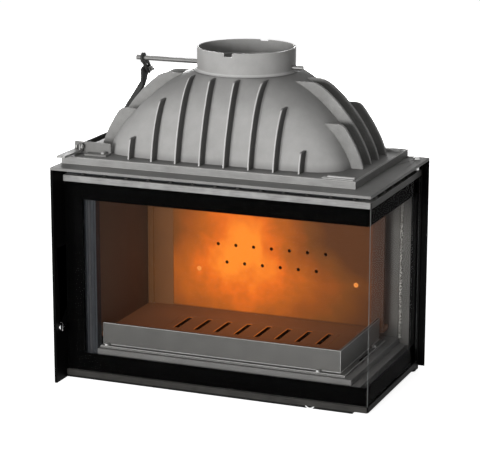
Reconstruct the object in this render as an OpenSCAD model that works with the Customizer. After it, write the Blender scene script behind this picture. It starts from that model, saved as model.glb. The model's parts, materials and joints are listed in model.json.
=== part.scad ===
// Cast iron fireplace insert: glass at the front and right side, ribbed hood, round flue collar.
// The origin is under the middle of the top plate, at floor level. The front faces -Y and +Z is up.

/* [Body] */
// Width of the top plate
plate_w = 700; // [680:5:760]
// Depth of the top plate, front to back
plate_d = 392; // [384:2:430]
// Height of the top plate's upper face above the floor
plate_z = 469; // [455:1:520]
// Thickness of the top plate
plate_t = 6; // [4:0.5:8]
// Thickness of the left jamb panel
jamb_t = 6; // [4:0.5:8]
// Thickness of the outer back sheet
back_sheet_t = 3; // [2:0.5:4]
// Thickness of the cast rear wall
rear_wall_t = 6; // [5:0.5:7]
// Distance from the plate's front edge back to the front glass
front_overhang = 47; // [42:1:52]
// Distance from the plate's right edge in to the side glass
side_overhang = 16; // [14:1:20]

/* [Door] */
// Gap between the floor and the door
door_floor_gap = 7; // [6.5:0.5:9]
// Gap between the door and the top plate
door_head_gap = 18; // [15:1:22]
// Visible height of the lower rail
rail_low_h = 12; // [11:0.5:14]
// Visible height of the upper rail
rail_top_h = 13; // [11:0.5:16]
// Depth of both rails, front to back
rail_d = 19; // [18.5:0.25:19.25]
// Radius of the rails' outer corner
rail_corner_r = 5; // [3:0.5:5.5]
// How far the rails stand proud of the glass
rail_proud = 2.5; // [2:0.1:2.8]
// Thickness of the ceramic glass
glass_t = 4; // [3:0.5:5]
// Depth of the glass in its rail groove
glass_bite = 5; // [4:0.5:6]
// Clearance round the glass in its groove
glass_clear = 0.3; // [0.2:0.05:0.5]
// Thickness of the black enamel border behind the glass
enamel_t = 0.6; // [0.4:0.1:0.8]
// Width of the enamel border at the left
border_left = 39; // [36:1:46]
// Height of the enamel border at the top
border_top = 38; // [30:1:46]
// Height of the enamel border at the bottom
border_low = 39; // [34:1:44]
// Thickness of the left stile behind the border
stile_t = 11; // [9:0.5:11.5]
// Width of the rear stile
rear_stile_w = 11.4; // [9:0.2:11.6]
// Thickness of the rear stile
rear_stile_t = 5; // [4:0.5:6]
// Distance of the hinge axis in from the side glass
hinge_in = 6; // [5:0.5:7]
// Distance of the hinge axis in from the plate's rear edge
hinge_back = 24; // [23.5:0.25:25]
// Diameter of the hinge pins
hinge_pin_d = 8; // [6:0.5:9]
// Running clearance of pins and spindles on the radius
run_clear = 0.06; // [0.04:0.01:0.09]
// Gap between the door and the jamb
door_clear = 1.5; // [1.2:0.1:2]
// Distance between the hinge axis and the door's rear end
hinge_end = 11; // [10:0.25:12]
// Diameter of the latch's spindle
latch_d = 8; // [6:0.5:10]
// Diameter of the latch knob
knob_d = 18; // [16:0.5:20]
// Length of the latch knob
knob_l = 7; // [6:0.5:9]
// Width of the latch knob's slot
knob_slot_w = 3.2; // [2.4:0.2:4]
// Width of the glass gasket
gasket_w = 14; // [12:1:16]
// Thickness of the glass gasket
gasket_t = 3; // [2:0.5:4]
// Distance of the latch in front of the glass
latch_out = 30; // [26:0.5:33]
// Height of the latch above the floor
latch_z = 121; // [110:1:180]

/* [Firebox] */
// Width of the left post
post_w = 65; // [60:1:70]
// Thickness of the front frame castings
frame_t = 8; // [7.5:0.5:10]
// Depth of the left post's return beside the fire plate
post_return = 20; // [18:1:24]
// Distance between the two narrow grooves in the left post
post_groove_pitch = 20; // [18:1:22]
// Width and depth of the left post's grooves
post_groove_w = 2; // [1.5:0.25:2.5]
// Height of the header frame
header_h = 63; // [55:1:66]
// Gap between the side glass and the right frame run
side_frame_gap = 22; // [21.5:0.25:24]
// Diameter of the braided rope seal
rope_d = 8; // [7:0.5:9]
// How far the rear rope stands out of its groove
rope_proud = 2.6; // [2:0.1:2.8]
// Gap between the front rope and the closed rails
rope_gap = 0.3; // [0.3:0.05:0.6]
// Distance of the left rope from the left post's edge
rope_left_in = 15; // [12:1:20]
// Distance of the rear rope in from the side glass
rope_rear_in = 39.5; // [37:0.5:43]
// Clearance of the rope in its grooves
rope_clear = 0.1; // [0.05:0.05:0.2]
// Distance from the glass back to the firebox frame
frame_set = 19; // [18.5:0.25:19.5]
// Thickness of the left fire plate
liner_t = 8; // [6:0.5:10]
// Height of the fire plates above the hearth
liner_h = 331; // [300:1:340]
// Distance from the plate's rear edge to the face of the fire back
fire_back_set = 46; // [42:1:52]
// Thickness of the fire back
fire_back_t = 8; // [6:0.5:10]
// Distance of the fire back's right edge in from the frame's side face
fire_back_end_set = 44; // [42:1:50]
// Thickness of the fire back's edge ribs
back_rib_t = 8; // [6:0.5:10]
// Distance of the edge ribs in from the fire back's right edge
back_rib_in = 24; // [22:1:26]
// Distance of the fire plates' visible face in from the left post's edge
liner_in = 5; // [3:0.5:8]
// Width of the left corner plate
corner_w = 46; // [40:1:50]
// Width of the corner plate's flange along the left fire plate
corner_lap = 12; // [9:0.5:15]
// Thickness of the corner plate
corner_t = 8; // [6:0.5:10]
// Diameter of the air holes in the fire back
air_hole_d = 8; // [6:0.5:10]
// Distance between neighbouring air holes
air_pitch = 42; // [36:1:46]
// Height of the lower row of air holes above the hearth
air_row_z = 112; // [90:1:130]
// Distance between the two rows of air holes
air_row_gap = 40; // [30:1:50]
// Distance of the air holes' middle left of the grate's middle
air_row_left = 4; // [0:1:8]
// Distance of the fire back's two bolts in from its edges
back_bolt_in = 62.5; // [55:0.5:75]
// Height of the two bolts above the hearth
back_bolt_z = 91; // [60:1:96]
// Gap between neighbouring fire plates
plate_gap = 1; // [0.5:0.25:1.5]

/* [Hearth] */
// Thickness of the base floor
floor_t = 6; // [5:0.25:6.25]
// Height of the outer sill above the floor
sill_z = 54; // [50:1:60]
// Height of the raised rim above the sill
rim_h = 12; // [8:1:14]
// Width of the raised rim
rim_w = 32; // [30:1:36]
// Distance from the frame's side face in to the rim
rim_set = 19; // [17:1:22]
// Width of the ledge behind the rim that carries the hearth
rim_ledge = 12; // [8:1:16]
// Thickness of the lip under the hearth plate
hearth_lip_t = 4; // [3:0.5:6]
// Height of the hearth above the floor
hearth_z = 94; // [90:1:100]
// Thickness of the hearth plate
hearth_t = 10; // [8:0.5:12]
// Distance from the frame's front face to the fender
fender_set = 25; // [23:1:27]
// Thickness of the fender
fender_t = 6; // [4:0.5:6]
// Height of the fender's foot
fender_foot_t = 4; // [3:0.5:5]
// Width of the fender's foot in front of it
fender_foot_w = 14; // [13.5:0.5:16]
// Height of the fender above its foot
fender_h = 47; // [40:1:55]
// Distance from the left fire plate to the grate
grate_left_set = 112; // [104:1:122]
// Distance from the hearth's right edge to the grate
grate_right_set = 56; // [50:1:66]
// Depth of the grate
grate_d = 100; // [90:1:110]
// Thickness of the grate
grate_t = 9; // [7:0.5:9.5]
// Width of the grate's slots
slot_w = 10; // [8:1:14]
// Number of slots in the grate
slot_count = 8; // [6:1:9]
// Bar left at the front and rear end of each slot
slot_end = 10; // [8:1:14]
// Distance of the outer slots' middles from the grate's ends
slot_side = 22; // [18:1:28]
// Distance from the hearth's front edge to the grate
grate_set = 80; // [70:1:90]
// Clearance round the grate
grate_clear = 1; // [0.5:0.1:1.5]
// Width of the ledge that carries the grate
grate_ledge = 6; // [5:0.5:8]
// Height of the ash pan
pan_h = 56; // [45:1:60]
// Clearance of the ash pan in the hearth's opening
pan_clear = 4; // [3:0.5:6]
// Thickness of the ash pan's sheet
pan_t = 2; // [1.5:0.25:3]

/* [Hood] */
// Thickness of the seat frame under the hood
seat_t = 7; // [5:0.5:9]
// Thickness of the seat frame's rim in front of the flange and at its right
seat_rim_t = 2.5; // [2:0.25:4]
// Gap between the rim and the flange
seat_gap = 1; // [0.5:0.25:1.5]
// Thickness of the hood's flange
flange_t = 8; // [6:0.5:10]
// Height of the hood above its flange
dome_h = 172; // [160:1:190]
// Distance of the flange's left edge in from the top plate's
flange_left_set = 3; // [2:0.5:5]
// Distance of the seat frame's right edge in from the top plate's
seat_right_set = 48; // [44:1:54]
// Distance of the dome's foot in from the flange's right edge
dome_side_set = 43.5; // [40:0.5:50]
// Distance of the dome's top edge beside the collar
dome_top_side = 2; // [1:0.5:8]
// Wall of the dome
dome_wall = 8; // [6:0.5:9]
// Distance of the dome's foot from the flange's front edge
dome_front_set = 38.5; // [36:0.5:42]
// Distance of the dome's foot from the flange's rear edge
dome_rear_set = 10; // [8:0.5:12]
// Distance of the dome's top edge in front of the collar
dome_top_lip = 2; // [1:0.5:8]
// Distance of the dome's top edge behind the collar
dome_top_rear_lip = 12; // [10:1:16]
// Distance of the opening under the dome in from the dome's foot
hood_opening_in = 10; // [8.5:0.5:12]
// Thickness of the ribs
rib_t = 4; // [3:0.5:6]
// How far the front ribs stand out at the dome's foot
rib_h = 25; // [18:0.5:27]
// How much further they stand out at the dome's top
rib_grow = 4; // [0:0.5:6]
// How far the rear ribs stand out
rib_rear_h = 7; // [5:0.5:8]
// Radius of the ribs' outer top corners
rib_round = 4; // [2:0.5:6]
// Distance of the outer ribs in from the dome's sides
rib_side_set = 81.5; // [75:0.5:90]
// Thickness of the side fins
fin_t = 8; // [6:0.5:10]
// Distance from the dome's foot back to the first fin
fin_front_set = 74; // [70:1:80]
// Distance between neighbouring side fins
fin_pitch = 50; // [44:1:52]
// Reach of the side fins beyond the dome at their foot
fin_foot = 23; // [18:1:26]
// Radius of the side fins' outer top corners
fin_round = 9; // [5:0.5:11]
// Reach of the side fins beyond the dome at its top
fin_crown = 42; // [36:1:46]
// Height of the raised pads on the flange
pad_t = 4; // [3:0.5:5]
// Width of the front pad
pad_w = 58; // [50:1:64]
// Depth of the pads
pad_d = 8; // [6:0.5:10]
// Distance of the front pad behind the flange's front edge
pad_front_set = 13; // [11:0.5:16]
// Distance of the pads from the flange's right edge
pad_side = 4; // [3:0.5:6]
// Height of the flat step under the front pad
pad_step_t = 1.5; // [1:0.25:2]
// How far the step reaches beyond the pad at its left and front
pad_step_w = 9; // [8:0.5:10]
// Width of the rear pad
pad_rear_w = 32; // [26:1:36]
// Distance of the rear pad in front of the flange's rear edge
pad_rear_set = 27; // [24:1:30]
// Distance of the hood's bolt in from the flange's rear edge
hood_bolt_rear_in = 28; // [26:1:34]
// Distance of the hood's bolt in from the flange's left edge
hood_bolt_edge = 8; // [7:0.5:9]

/* [Flue] */
// Inside diameter of the flue collar
flue_d = 200; // [196:1:202]
// Wall of the flue collar
collar_wall = 4; // [3:0.5:5]
// Height of the flue collar above the hood
collar_h = 49; // [44:1:60]
// Depth of the flue socket, from the collar's rim down to the pipe's seat
socket_h = 29; // [24:1:30]
// Width of the seat that the flue pipe stands on
pipe_seat = 2; // [1.5:0.25:2.5]
// Depth of the collar's spigot in the hood
spigot_h = 6; // [4:0.5:8]
// Width of the two notches in the collar's rim
notch_w = 18; // [12:1:24]
// Depth of the front notch
notch_h = 8; // [5:0.5:10]
// Depth of the rear notch
notch_rear_h = 3; // [2:0.5:4]
// Distance of the flue axis left of the plate's middle
flue_left = 15; // [11:1:19]
// Distance of the flue axis behind the plate's middle
flue_back = 62; // [58:1:64]

/* [Damper control] */
// Diameter of the damper shaft
shaft_d = 10; // [8:0.5:11]
// Height of the shaft's axis above the hood's top
shaft_up = 10; // [9:0.5:12]
// Reach of the shaft to the left of the flue axis
shaft_left = 253; // [246:1:256]
// Reach of the shaft to the right of the flue axis
shaft_right = 127; // [116:1:140]
// Gap between the damper disc and the collar
disc_gap = 6; // [5.5:0.5:8]
// Distance of the disc's two screws from the flue axis
disc_screw_x = 50; // [30:1:70]
// Diameter of the disc's screws
disc_screw_d = 4; // [3:0.5:4.5]
// Thickness of the damper disc
disc_t = 4; // [3:0.5:5]
// Radius from the shaft to the crank pin, down and back alike
crank_arm = 28; // [27:0.5:30]
// Diameter of the crank pin
crank_pin_d = 6; // [5:0.5:6.5]
// Wall of the crank round the shaft
crank_boss = 6; // [5:0.5:7]
// Wall of the crank beside its slot
crank_wall = 4; // [3:0.5:5]
// Play of the crank pin in its slot, each side
crank_play = 2.6; // [2.5:0.1:3]
// Thickness of the crank and of the pull bar
bar_t = 5; // [4:0.5:5.5]
// Width of the pull bar
bar_w = 14; // [10:1:16]
// Distance of the pull bar's axis from the plate's left edge
bar_left = 28; // [24:1:31]
// Height of the pull bar's axis above the hood's flange
bar_up = 16; // [14:0.5:18]
// Height of the pull bar's level run
run_h = 10; // [8:0.5:11]
// Drop of the pull bar's knee below the shaft
knee_drop = 55; // [50:1:60]
// Distance of the knee in front of the crank pin
knee_front = 26; // [24:1:30]
// Distance of the slanting leg's lower end in front of the shaft
leg_front = 22; // [18:1:26]
// Width of the pull tab
tab_w = 22; // [18:1:24]
// Thickness of the pull tab
tab_t = 4; // [3:0.5:5]
// Drop of the pull tab below the pull bar's axis
tab_drop = 10; // [9:0.5:11]
// Distance of the pull tab's tip behind the plate's front edge
tab_tip_set = 3; // [2:0.5:6]
// Distance of the tab's bolt in front of the bracket
tab_bolt_set = 13; // [12:0.5:16]
// Diameter of the tab's bolt
tab_bolt_d = 5; // [4:0.5:6]
// Distance from the hood's front edge to the bracket
bracket_set = 43.5; // [40:0.5:46]
// Thickness of the bracket
bracket_t = 4; // [3:0.5:5]
// Width of the bracket
bracket_w = 84; // [80:1:88]
// Height of the bracket
bracket_h = 24; // [23:1:28]
// Distance of the bracket from the plate's left edge
bracket_left = 11; // [8:1:14]
// Depth of the bracket's foot
bracket_foot_d = 24; // [22:0.5:26]
// Length of the bracket that has no foot, at its left
bracket_foot_in = 34; // [32:1:38]
// Distance of the bracket's bolt in from its right end
bracket_bolt_in = 11; // [9:0.5:13]
// Clearance of the pull bar in the bracket's slot
bar_clear = 0.5; // [0.3:0.1:0.8]

/* [Air control] */
// Width of the air slide
air_slide_w = 60; // [50:2:70]
// Thickness of the air slide
air_slide_t = 2; // [1.5:0.25:2.5]
// Distance of the air slide's middle in from the base's right edge
air_slide_set = 91; // [84:1:97]
// Diameter of the primary air holes
air_inlet_d = 14; // [10:1:16]
// Travel of the air slide
air_travel = 30; // [26:1:34]
// Distance from the front frame back to the air holes
air_hole_set = 48; // [44:1:52]
// Clearance of the air slide in its recess
air_clear = 0.3; // [0.2:0.05:0.4]
// Diameter of the round that the chrome finger pull is cut from
pull_d = 24; // [20:1:26]
// Thickness of the finger pull's rim
pull_rim = 2.5; // [2:0.25:3]

/* [Fasteners] */
// Diameter of the small bolts
bolt_d = 6; // [5:0.5:7]
// Depth of the fender's bolts in the frame
fender_grip = 8; // [6:0.5:9]
// Diameter of the screws on the top rail
rail_screw_d = 5; // [4:0.5:5.5]
// Depth of the screws in the top rail
rail_screw_grip = 6.8; // [6:0.1:7]
// Distance of the rail screws from the rail's inner edge
rail_screw_in = 6; // [5:0.5:7]
// Gap between loosely fitted pieces
loose_gap = 0.3; // [0.3:0.05:0.5]
// Distance between the screws on the top rail
rail_screw_pitch = 50; // [40:1:60]

/* [Hidden] */

eps = 0.01;
fine = 96;
small = 32;

// Outer faces of the body
left_x = -plate_w / 2;
right_x = plate_w / 2;
front_y = -plate_d / 2;
rear_y = plate_d / 2;
plate_low_z = plate_z - plate_t;
jamb_x = left_x + jamb_t;
wall_back_y = rear_y - back_sheet_t;
wall_y = wall_back_y - rear_wall_t;

// Outer faces of the glass, and the door's outline
glass_y = front_y + front_overhang;
glass_x = right_x - side_overhang;
door_left_x = jamb_x + door_clear;
door_rear_y = rear_y - hinge_back + hinge_end;
door_z = door_floor_gap;
door_top_z = plate_low_z - door_head_gap;
clear_z = door_z + rail_low_h;
clear_top_z = door_top_z - rail_top_h;
rail_front_y = glass_y - rail_proud;
rail_right_x = glass_x + rail_proud;
hinge_x = glass_x - hinge_in;
hinge_y = rear_y - hinge_back;

// Firebox frame
frame_y = glass_y + frame_set;
frame_x = glass_x - side_frame_gap;
post_right_x = jamb_x + post_w;
header_z = plate_low_z - header_h;
rope_r = rope_d / 2;
rail_back_y = rail_front_y + rail_d;
rail_in_x = rail_right_x - rail_d;
rope_y = rail_back_y + rope_gap + rope_r;
rope_x = frame_x;
rope_rear_x = glass_x - rope_rear_in;
rope_rear_y = wall_y + rope_r - rope_proud;
rope_low_z = door_z + rail_low_h / 2;
rope_top_z = door_top_z - rail_top_h / 2;
rope_left_x = post_right_x - rope_left_in;
// The side ropes stop short of the circle that the rails' rear corner sweeps round the hinge
rail_sweep = norm([rail_in_x - hinge_x, door_rear_y - hinge_y]);
rope_end_y = hinge_y - rail_sweep - 2;

// Hearth and fire plates
rim_z = sill_z + rim_h;
rim_right_x = frame_x - rim_set;
sill_w = rim_set + rim_w + rim_ledge;
hearth_low_z = hearth_z - hearth_t;
liner_x = post_right_x - liner_in;
liner_out_x = liner_x - liner_t;
liner_top_z = hearth_z + liner_h;
fire_back_y = rear_y - fire_back_set;
fire_back_rear_y = fire_back_y + fire_back_t;
corner_x = liner_x + corner_lap;
fire_back_x = corner_x + corner_w + plate_gap;
fire_back_end_x = frame_x - fire_back_end_set;
back_rib_end_x = fire_back_end_x - back_rib_in;
fire_back_mid_x = (fire_back_x + fire_back_end_x) / 2;
bolt_half = (fire_back_end_x - fire_back_x) / 2 - back_bolt_in;
bolt_level = hearth_z + back_bolt_z;
fender_y = frame_y + fender_set;
fender_x = rim_right_x - rim_w;
fender_end_y = fire_back_y - plate_gap / 2;
fender_z = rim_z + fender_foot_t;
fender_top_z = fender_z + fender_h;
hearth_front_y = fender_y + fender_t + plate_gap;
hearth_right_x = fender_x - fender_t - plate_gap;
grate_front_y = hearth_front_y + grate_set;
grate_left_x = liner_x + grate_left_set;
grate_right_x = hearth_right_x - grate_right_set;
grate_x = (grate_left_x + grate_right_x) / 2;
slot_pitch = (grate_right_x - grate_left_x - 2 * slot_side) / (slot_count - 1);
base_right_x = frame_x - 10;
base_front_y = glass_y + 3;
base_wall_end_x = frame_x - sill_w - loose_gap;

// Hood: the dome's outline runs from a squarish oval foot to a rounder oval top
flange_z = plate_z + seat_t;
dome_z = flange_z + flange_t;
dome_top_z = dome_z + dome_h;
flange_left_x = left_x + flange_left_set;
seat_right_x = right_x - seat_right_set;
seat_front_y = glass_y;
flange_right_x = seat_right_x - seat_rim_t - seat_gap;
flange_front_y = seat_front_y + seat_rim_t + seat_gap;
flange_rear_y = rear_y - 1;
flue_x = -flue_left;
flue_y = flue_back;
flue_r = flue_d / 2;
collar_r = flue_r + collar_wall;
collar_top_z = dome_top_z + collar_h;
socket_z = collar_top_z - socket_h;
dome_front = flange_front_y + dome_front_set;
dome_rear = flange_rear_y - dome_rear_set;
dome_top_front = flue_y - collar_r - dome_top_lip;
dome_top_rear = flue_y + collar_r + dome_top_rear_lip;
dome_base_a = flange_right_x - flue_x - dome_side_set;
dome_top_a = collar_r + dome_top_side;
// Ribs and fins end at these shares of the dome's height, from left to right and from front to back
rib_tops = [0.25, 0.71, 0.985, 0.985, 0.985, 0.985, 0.71, 0.25];
fin_tops = [0.52, 0.945, 0.945, 0.63];
rib_in = dome_wall / 2;
rib_pitch = 2 * (dome_base_a - rib_side_set) / (len(rib_tops) - 1);
rib_mid = (len(rib_tops) - 1) / 2;
fin_first_y = dome_front + fin_front_set;
pad_right_x = flange_right_x - pad_side;
pad_y = flange_front_y + pad_front_set;

// The dome draws in with height from 1 to 0, more slowly at its sides than at its front and rear
function swell(t, power = 0.85) = pow(1 - pow(t, 1.35), power);
function half_w(t) = dome_top_a + (dome_base_a - dome_top_a) * swell(t, 0.7);
function front_at(t) = dome_top_front + (dome_front - dome_top_front) * swell(t);
function rear_at(t) = dome_top_rear + (dome_rear - dome_top_rear) * swell(t);
function mid_at(t) = (front_at(t) + rear_at(t)) / 2;
function half_d(t) = (rear_at(t) - front_at(t)) / 2;
function square_at(t) = 2.3 + 2.7 * pow(1 - t * t, 1.8);
function bend(v, n) = sign(v) * pow(abs(v), 2 / n);
function side(u, n) = pow(max(0, 1 - pow(min(1, abs(u)), n)), 1 / n);
// Point of the dome's outline at the level t, turned by the angle a, drawn in by a wall
function dome_pt(t, a, inset) = [
    flue_x + (half_w(t) - inset) * bend(cos(a), square_at(t)),
    mid_at(t) + (half_d(t) - inset) * bend(sin(a), square_at(t))];
// Depth and width reached by the dome at a given place
function front_of(x, t, inset) =
    mid_at(t) - (half_d(t) - inset) * side((x - flue_x) / (half_w(t) - inset), square_at(t));
function rear_of(x, t, inset) =
    mid_at(t) + (half_d(t) - inset) * side((x - flue_x) / (half_w(t) - inset), square_at(t));
function width_of(y, t, inset) =
    (half_w(t) - inset) * side((y - mid_at(t)) / (half_d(t) - inset), square_at(t));
function fin_out(t) = half_w(t) + fin_crown + (fin_foot - fin_crown) * swell(t);

// Damper control: the pin slides below the shaft in the crank's slot
shaft_z = dome_top_z + shaft_up;
shaft_end_x = flue_x - shaft_left;
bar_x = shaft_end_x + bar_t + 1;
crank_x = bar_x + bar_t + 1;
pin_y = flue_y + crank_arm;
pin_z = shaft_z - crank_arm;
slot_r = crank_pin_d / 2 + crank_play;
run_x = left_x + bar_left;
run_z = dome_z + bar_up;
bracket_y = flange_front_y + bracket_set;
bracket_x = left_x + bracket_left;
bracket_bolt_x = bracket_x + bracket_w - bracket_bolt_in;
bracket_bolt_y = bracket_y - bracket_foot_d / 2 - 1;
tab_tip_y = front_y + tab_tip_set;
tab_z = run_z - tab_drop;
tab_bolt_y = bracket_y - tab_bolt_set;
bar_front_y = tab_bolt_y - 1.4 * tab_bolt_d;
tab_rear_y = tab_bolt_y + 1.2 * tab_bolt_d;
tab_right_x = run_x + bar_t / 2 + tab_t - 1;

// Air control
air_slide_x = base_right_x - air_slide_set;
air_slide_top_z = floor_t - air_clear;
air_slide_z = air_slide_top_z - air_slide_t;
air_left_x = air_slide_x - air_slide_w / 2;
air_right_x = air_slide_x + air_slide_w / 2;
air_hole_y = frame_y + frame_t + air_hole_set;
air_rear_y = air_hole_y + air_travel + air_inlet_d / 2 + 9;
pull_y = base_front_y - 1;

// A flat L that follows the front and the right side, with a round outer corner
module l_band(x0, y0, x1, y1, d, r = 0) {
    difference() {
        union() {
            translate([x0, y0]) square([x1 - x0, d]);
            translate([x1 - d, y0]) square([d, y1 - y0]);
        }
        if (r > 0)
            difference() {
                translate([x1 - r, y0 - eps]) square([r + eps, r + eps]);
                translate([x1 - r, y0 + r]) circle(r, $fn = small);
            }
    }
}
module box(a, b) {
    translate(a) cube(b - a);
}
module bar_along_x(x0, x1, y, z, d, n = small) {
    translate([x0, y, z]) rotate([0, 90, 0]) cylinder(d = d, h = x1 - x0, $fn = n);
}
module bar_along_y(x, y0, y1, z, d, n = small) {
    translate([x, y0, z]) rotate([-90, 0, 0]) cylinder(d = d, h = y1 - y0, $fn = n);
}
// A small bolt: its shank runs down from the seat, its hexagon head stands on it
module bolt(d, shank) {
    translate([0, 0, -shank]) cylinder(d = d, h = shank + eps, $fn = small);
    cylinder(d = 1.8 * d, h = 0.65 * d, $fn = 6);
}
// A round-headed screw, seat at the origin, head towards +Z
module screw(d, shank) {
    translate([0, 0, -shank]) cylinder(d = d, h = shank + eps, $fn = small);
    cylinder(d1 = 1.8 * d, d2 = 1.2 * d, h = 0.6 * d, $fn = small);
}

module top_plate() {
    color("dimgray")
    difference() {
        box([left_x, front_y, plate_low_z], [right_x, rear_y, plate_z]);
        hood_opening(plate_low_z, plate_z);
        translate([hinge_x, hinge_y, plate_low_z - 1])
            cylinder(d = hinge_pin_d, h = plate_t + 2, $fn = small);
        flange_bolt_places() bolt_hole();
    }
}
// Opening under the dome, through a plate between two heights
module hood_opening(z0, z1) {
    box([flue_x - dome_base_a + hood_opening_in, dome_front + hood_opening_in, z0 - 1],
        [flue_x + dome_base_a - hood_opening_in, dome_rear - hood_opening_in, z1 + 1]);
}
module left_jamb() {
    color("dimgray")
    difference() {
        box([left_x, front_y, 0], [jamb_x, rear_y, plate_low_z]);
        bar_along_x(left_x - 1, jamb_x + 1, latch_y, latch_z, latch_d + 2 * run_clear);
        bar_along_x(left_x - 1, left_x + 2.2, latch_y, latch_z, 2 * latch_d);
    }
}
module back_sheet() {
    color("black")
    box([jamb_x, wall_back_y, door_floor_gap], [right_x, rear_y, plate_low_z]);
}
module rear_wall() {
    color("dimgray")
    difference() {
        box([jamb_x, wall_y, 0], [rail_right_x, wall_back_y, plate_low_z]);
        translate([rope_rear_x, rope_rear_y, rim_z])
            cylinder(r = rope_r + rope_clear, h = clear_top_z - rim_z, $fn = small);
        for (i = [-1, 1])
            bar_along_y(fire_back_mid_x + i * bolt_half, wall_y - 1, wall_back_y + 1, bolt_level, bolt_d);
    }
}
module base_casting() {
    color("dimgray")
    difference() {
        union() {
            box([jamb_x, base_front_y, 0], [base_right_x, wall_y, floor_t]);
            box([liner_out_x, frame_y + frame_t, 0], [liner_x, fire_back_rear_y, hearth_low_z]);
            box([liner_out_x, fire_back_y, 0], [base_wall_end_x, fire_back_rear_y, hearth_low_z]);
        }
        // Recess in the floor for the air slide, open at the front
        box([air_left_x - air_clear, base_front_y - 1, air_slide_z - 0.2],
            [air_right_x + air_clear, air_rear_y + air_clear, floor_t + 1]);
        for (i = [-1, 1]) translate([air_slide_x + i * air_slide_w / 4, air_hole_y, -1])
            cylinder(d = air_inlet_d, h = floor_t + 2, $fn = small);
    }
}
// L-shaped sill casting with the raised rim that carries the fender
module lower_frame() {
    color("gray")
    difference() {
        union() {
            translate([0, 0, floor_t]) linear_extrude(sill_z - floor_t)
                l_band(post_right_x, frame_y, frame_x, wall_y, frame_t);
            translate([0, 0, sill_z - frame_t]) linear_extrude(frame_t)
                l_band(post_right_x, frame_y, frame_x, wall_y, sill_w);
            translate([0, 0, sill_z - eps]) linear_extrude(rim_h + eps)
                l_band(post_right_x, frame_y, rim_right_x, wall_y, rim_w);
        }
        rope_grooves(rope_low_z);
        fender_bolt_places() fender_bolt_hole();
    }
}
module left_post() {
    color("gray")
    difference() {
        union() {
            box([jamb_x, frame_y, floor_t], [post_right_x, frame_y + frame_t, plate_low_z]);
            box([liner_x, frame_y, floor_t], [post_right_x, frame_y + post_return, plate_low_z]);
        }
        translate([rope_left_x, rope_y, rope_low_z])
            cylinder(r = rope_r + rope_clear, h = rope_top_z - rope_low_z, $fn = small);
        for (z = [rope_low_z, rope_top_z]) {
            bar_along_x(rope_left_x, post_right_x + 1, rope_y, z, rope_d + 2 * rope_clear);
            translate([rope_left_x, rope_y, z]) sphere(d = rope_d + 2 * rope_clear, $fn = small);
        }
        // Two narrow grooves beside the rope
        for (i = [0, 1]) let (x = liner_x - i * post_groove_pitch)
            box([x, frame_y - 1, clear_z], [x + post_groove_w, frame_y + post_groove_w, clear_top_z]);
    }
}
module header_frame() {
    color("gray")
    difference() {
        translate([0, 0, header_z]) linear_extrude(header_h)
            l_band(post_right_x, frame_y, frame_x, wall_y, frame_t);
        rope_grooves(rope_top_z);
    }
}
module rope_grooves(z) {
    bar_along_x(post_right_x - 1, frame_x + 1, rope_y, z, rope_d + 2 * rope_clear);
    bar_along_y(rope_x, frame_y - 1, rope_end_y + 1, z, rope_d + 2 * rope_clear);
}
// Braided rope laid in the grooves round the whole opening
module rope_seal() {
    color("whitesmoke") {
        translate([rope_left_x, rope_y, rope_low_z])
            cylinder(r = rope_r, h = rope_top_z - rope_low_z, $fn = small);
        translate([rope_rear_x, rope_rear_y, rim_z + loose_gap])
            cylinder(r = rope_r, h = clear_top_z - rim_z - 2 * loose_gap, $fn = small);
        for (z = [rope_low_z, rope_top_z]) {
            bar_along_x(rope_left_x, rope_x, rope_y, z, rope_d);
            bar_along_y(rope_x, rope_y, rope_end_y, z, rope_d);
            for (x = [rope_left_x, rope_x]) translate([x, rope_y, z]) sphere(d = rope_d, $fn = small);
        }
    }
}
module fire_plate_left() {
    color("dimgray")
    box([liner_out_x, frame_y + post_return, hearth_z], [liner_x, fire_back_y, liner_top_z]);
}
module fire_back() {
    color("chocolate")
    difference() {
        union() {
            box([fire_back_x, fire_back_y, hearth_z], [fire_back_end_x, fire_back_rear_y, liner_top_z]);
            for (x = [fire_back_x, back_rib_end_x - back_rib_t])
                box([x, fire_back_y, hearth_z], [x + back_rib_t, wall_y, liner_top_z]);
            for (z = [hearth_z, liner_top_z - back_rib_t])
                box([fire_back_x, fire_back_y, z], [back_rib_end_x, wall_y, z + back_rib_t]);
            for (i = [-1, 1])
                bar_along_y(fire_back_mid_x + i * bolt_half, fire_back_y, wall_y, bolt_level, 3 * bolt_d);
        }
        // Air holes: seven in the upper row, six between them in the lower row
        for (i = [-3:3]) air_hole(i * air_pitch, air_row_z + air_row_gap);
        for (i = [-2.5:2.5]) air_hole(i * air_pitch, air_row_z);
        for (i = [-1, 1])
            bar_along_y(fire_back_mid_x + i * bolt_half, fire_back_y - 1, wall_y + 1, bolt_level, bolt_d);
    }
}
module air_hole(x, up) {
    bar_along_y(grate_x - air_row_left + x, fire_back_y - 1, fire_back_rear_y + 1, hearth_z + up,
        air_hole_d, 24);
}
module fire_back_bolts() {
    color("silver")
    for (i = [-1, 1]) translate([fire_back_mid_x + i * bolt_half, fire_back_y, bolt_level])
        rotate([90, 0, 0]) screw(bolt_d, wall_back_y - fire_back_y - 0.5);
}
module corner_plate() {
    color("saddlebrown") {
        box([liner_x, fire_back_y - corner_t, hearth_z], [corner_x, fire_back_y, liner_top_z]);
        box([liner_out_x, fire_back_y, hearth_z], [fire_back_x - plate_gap, fire_back_rear_y, liner_top_z]);
        box([liner_out_x, fire_back_y, hearth_z], [liner_x, wall_y, liner_top_z]);
    }
}
module grate_outline(grow) {
    translate([grate_left_x - grow, grate_front_y - grow])
        square([grate_right_x - grate_left_x + 2 * grow, grate_d + 2 * grow]);
}
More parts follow.
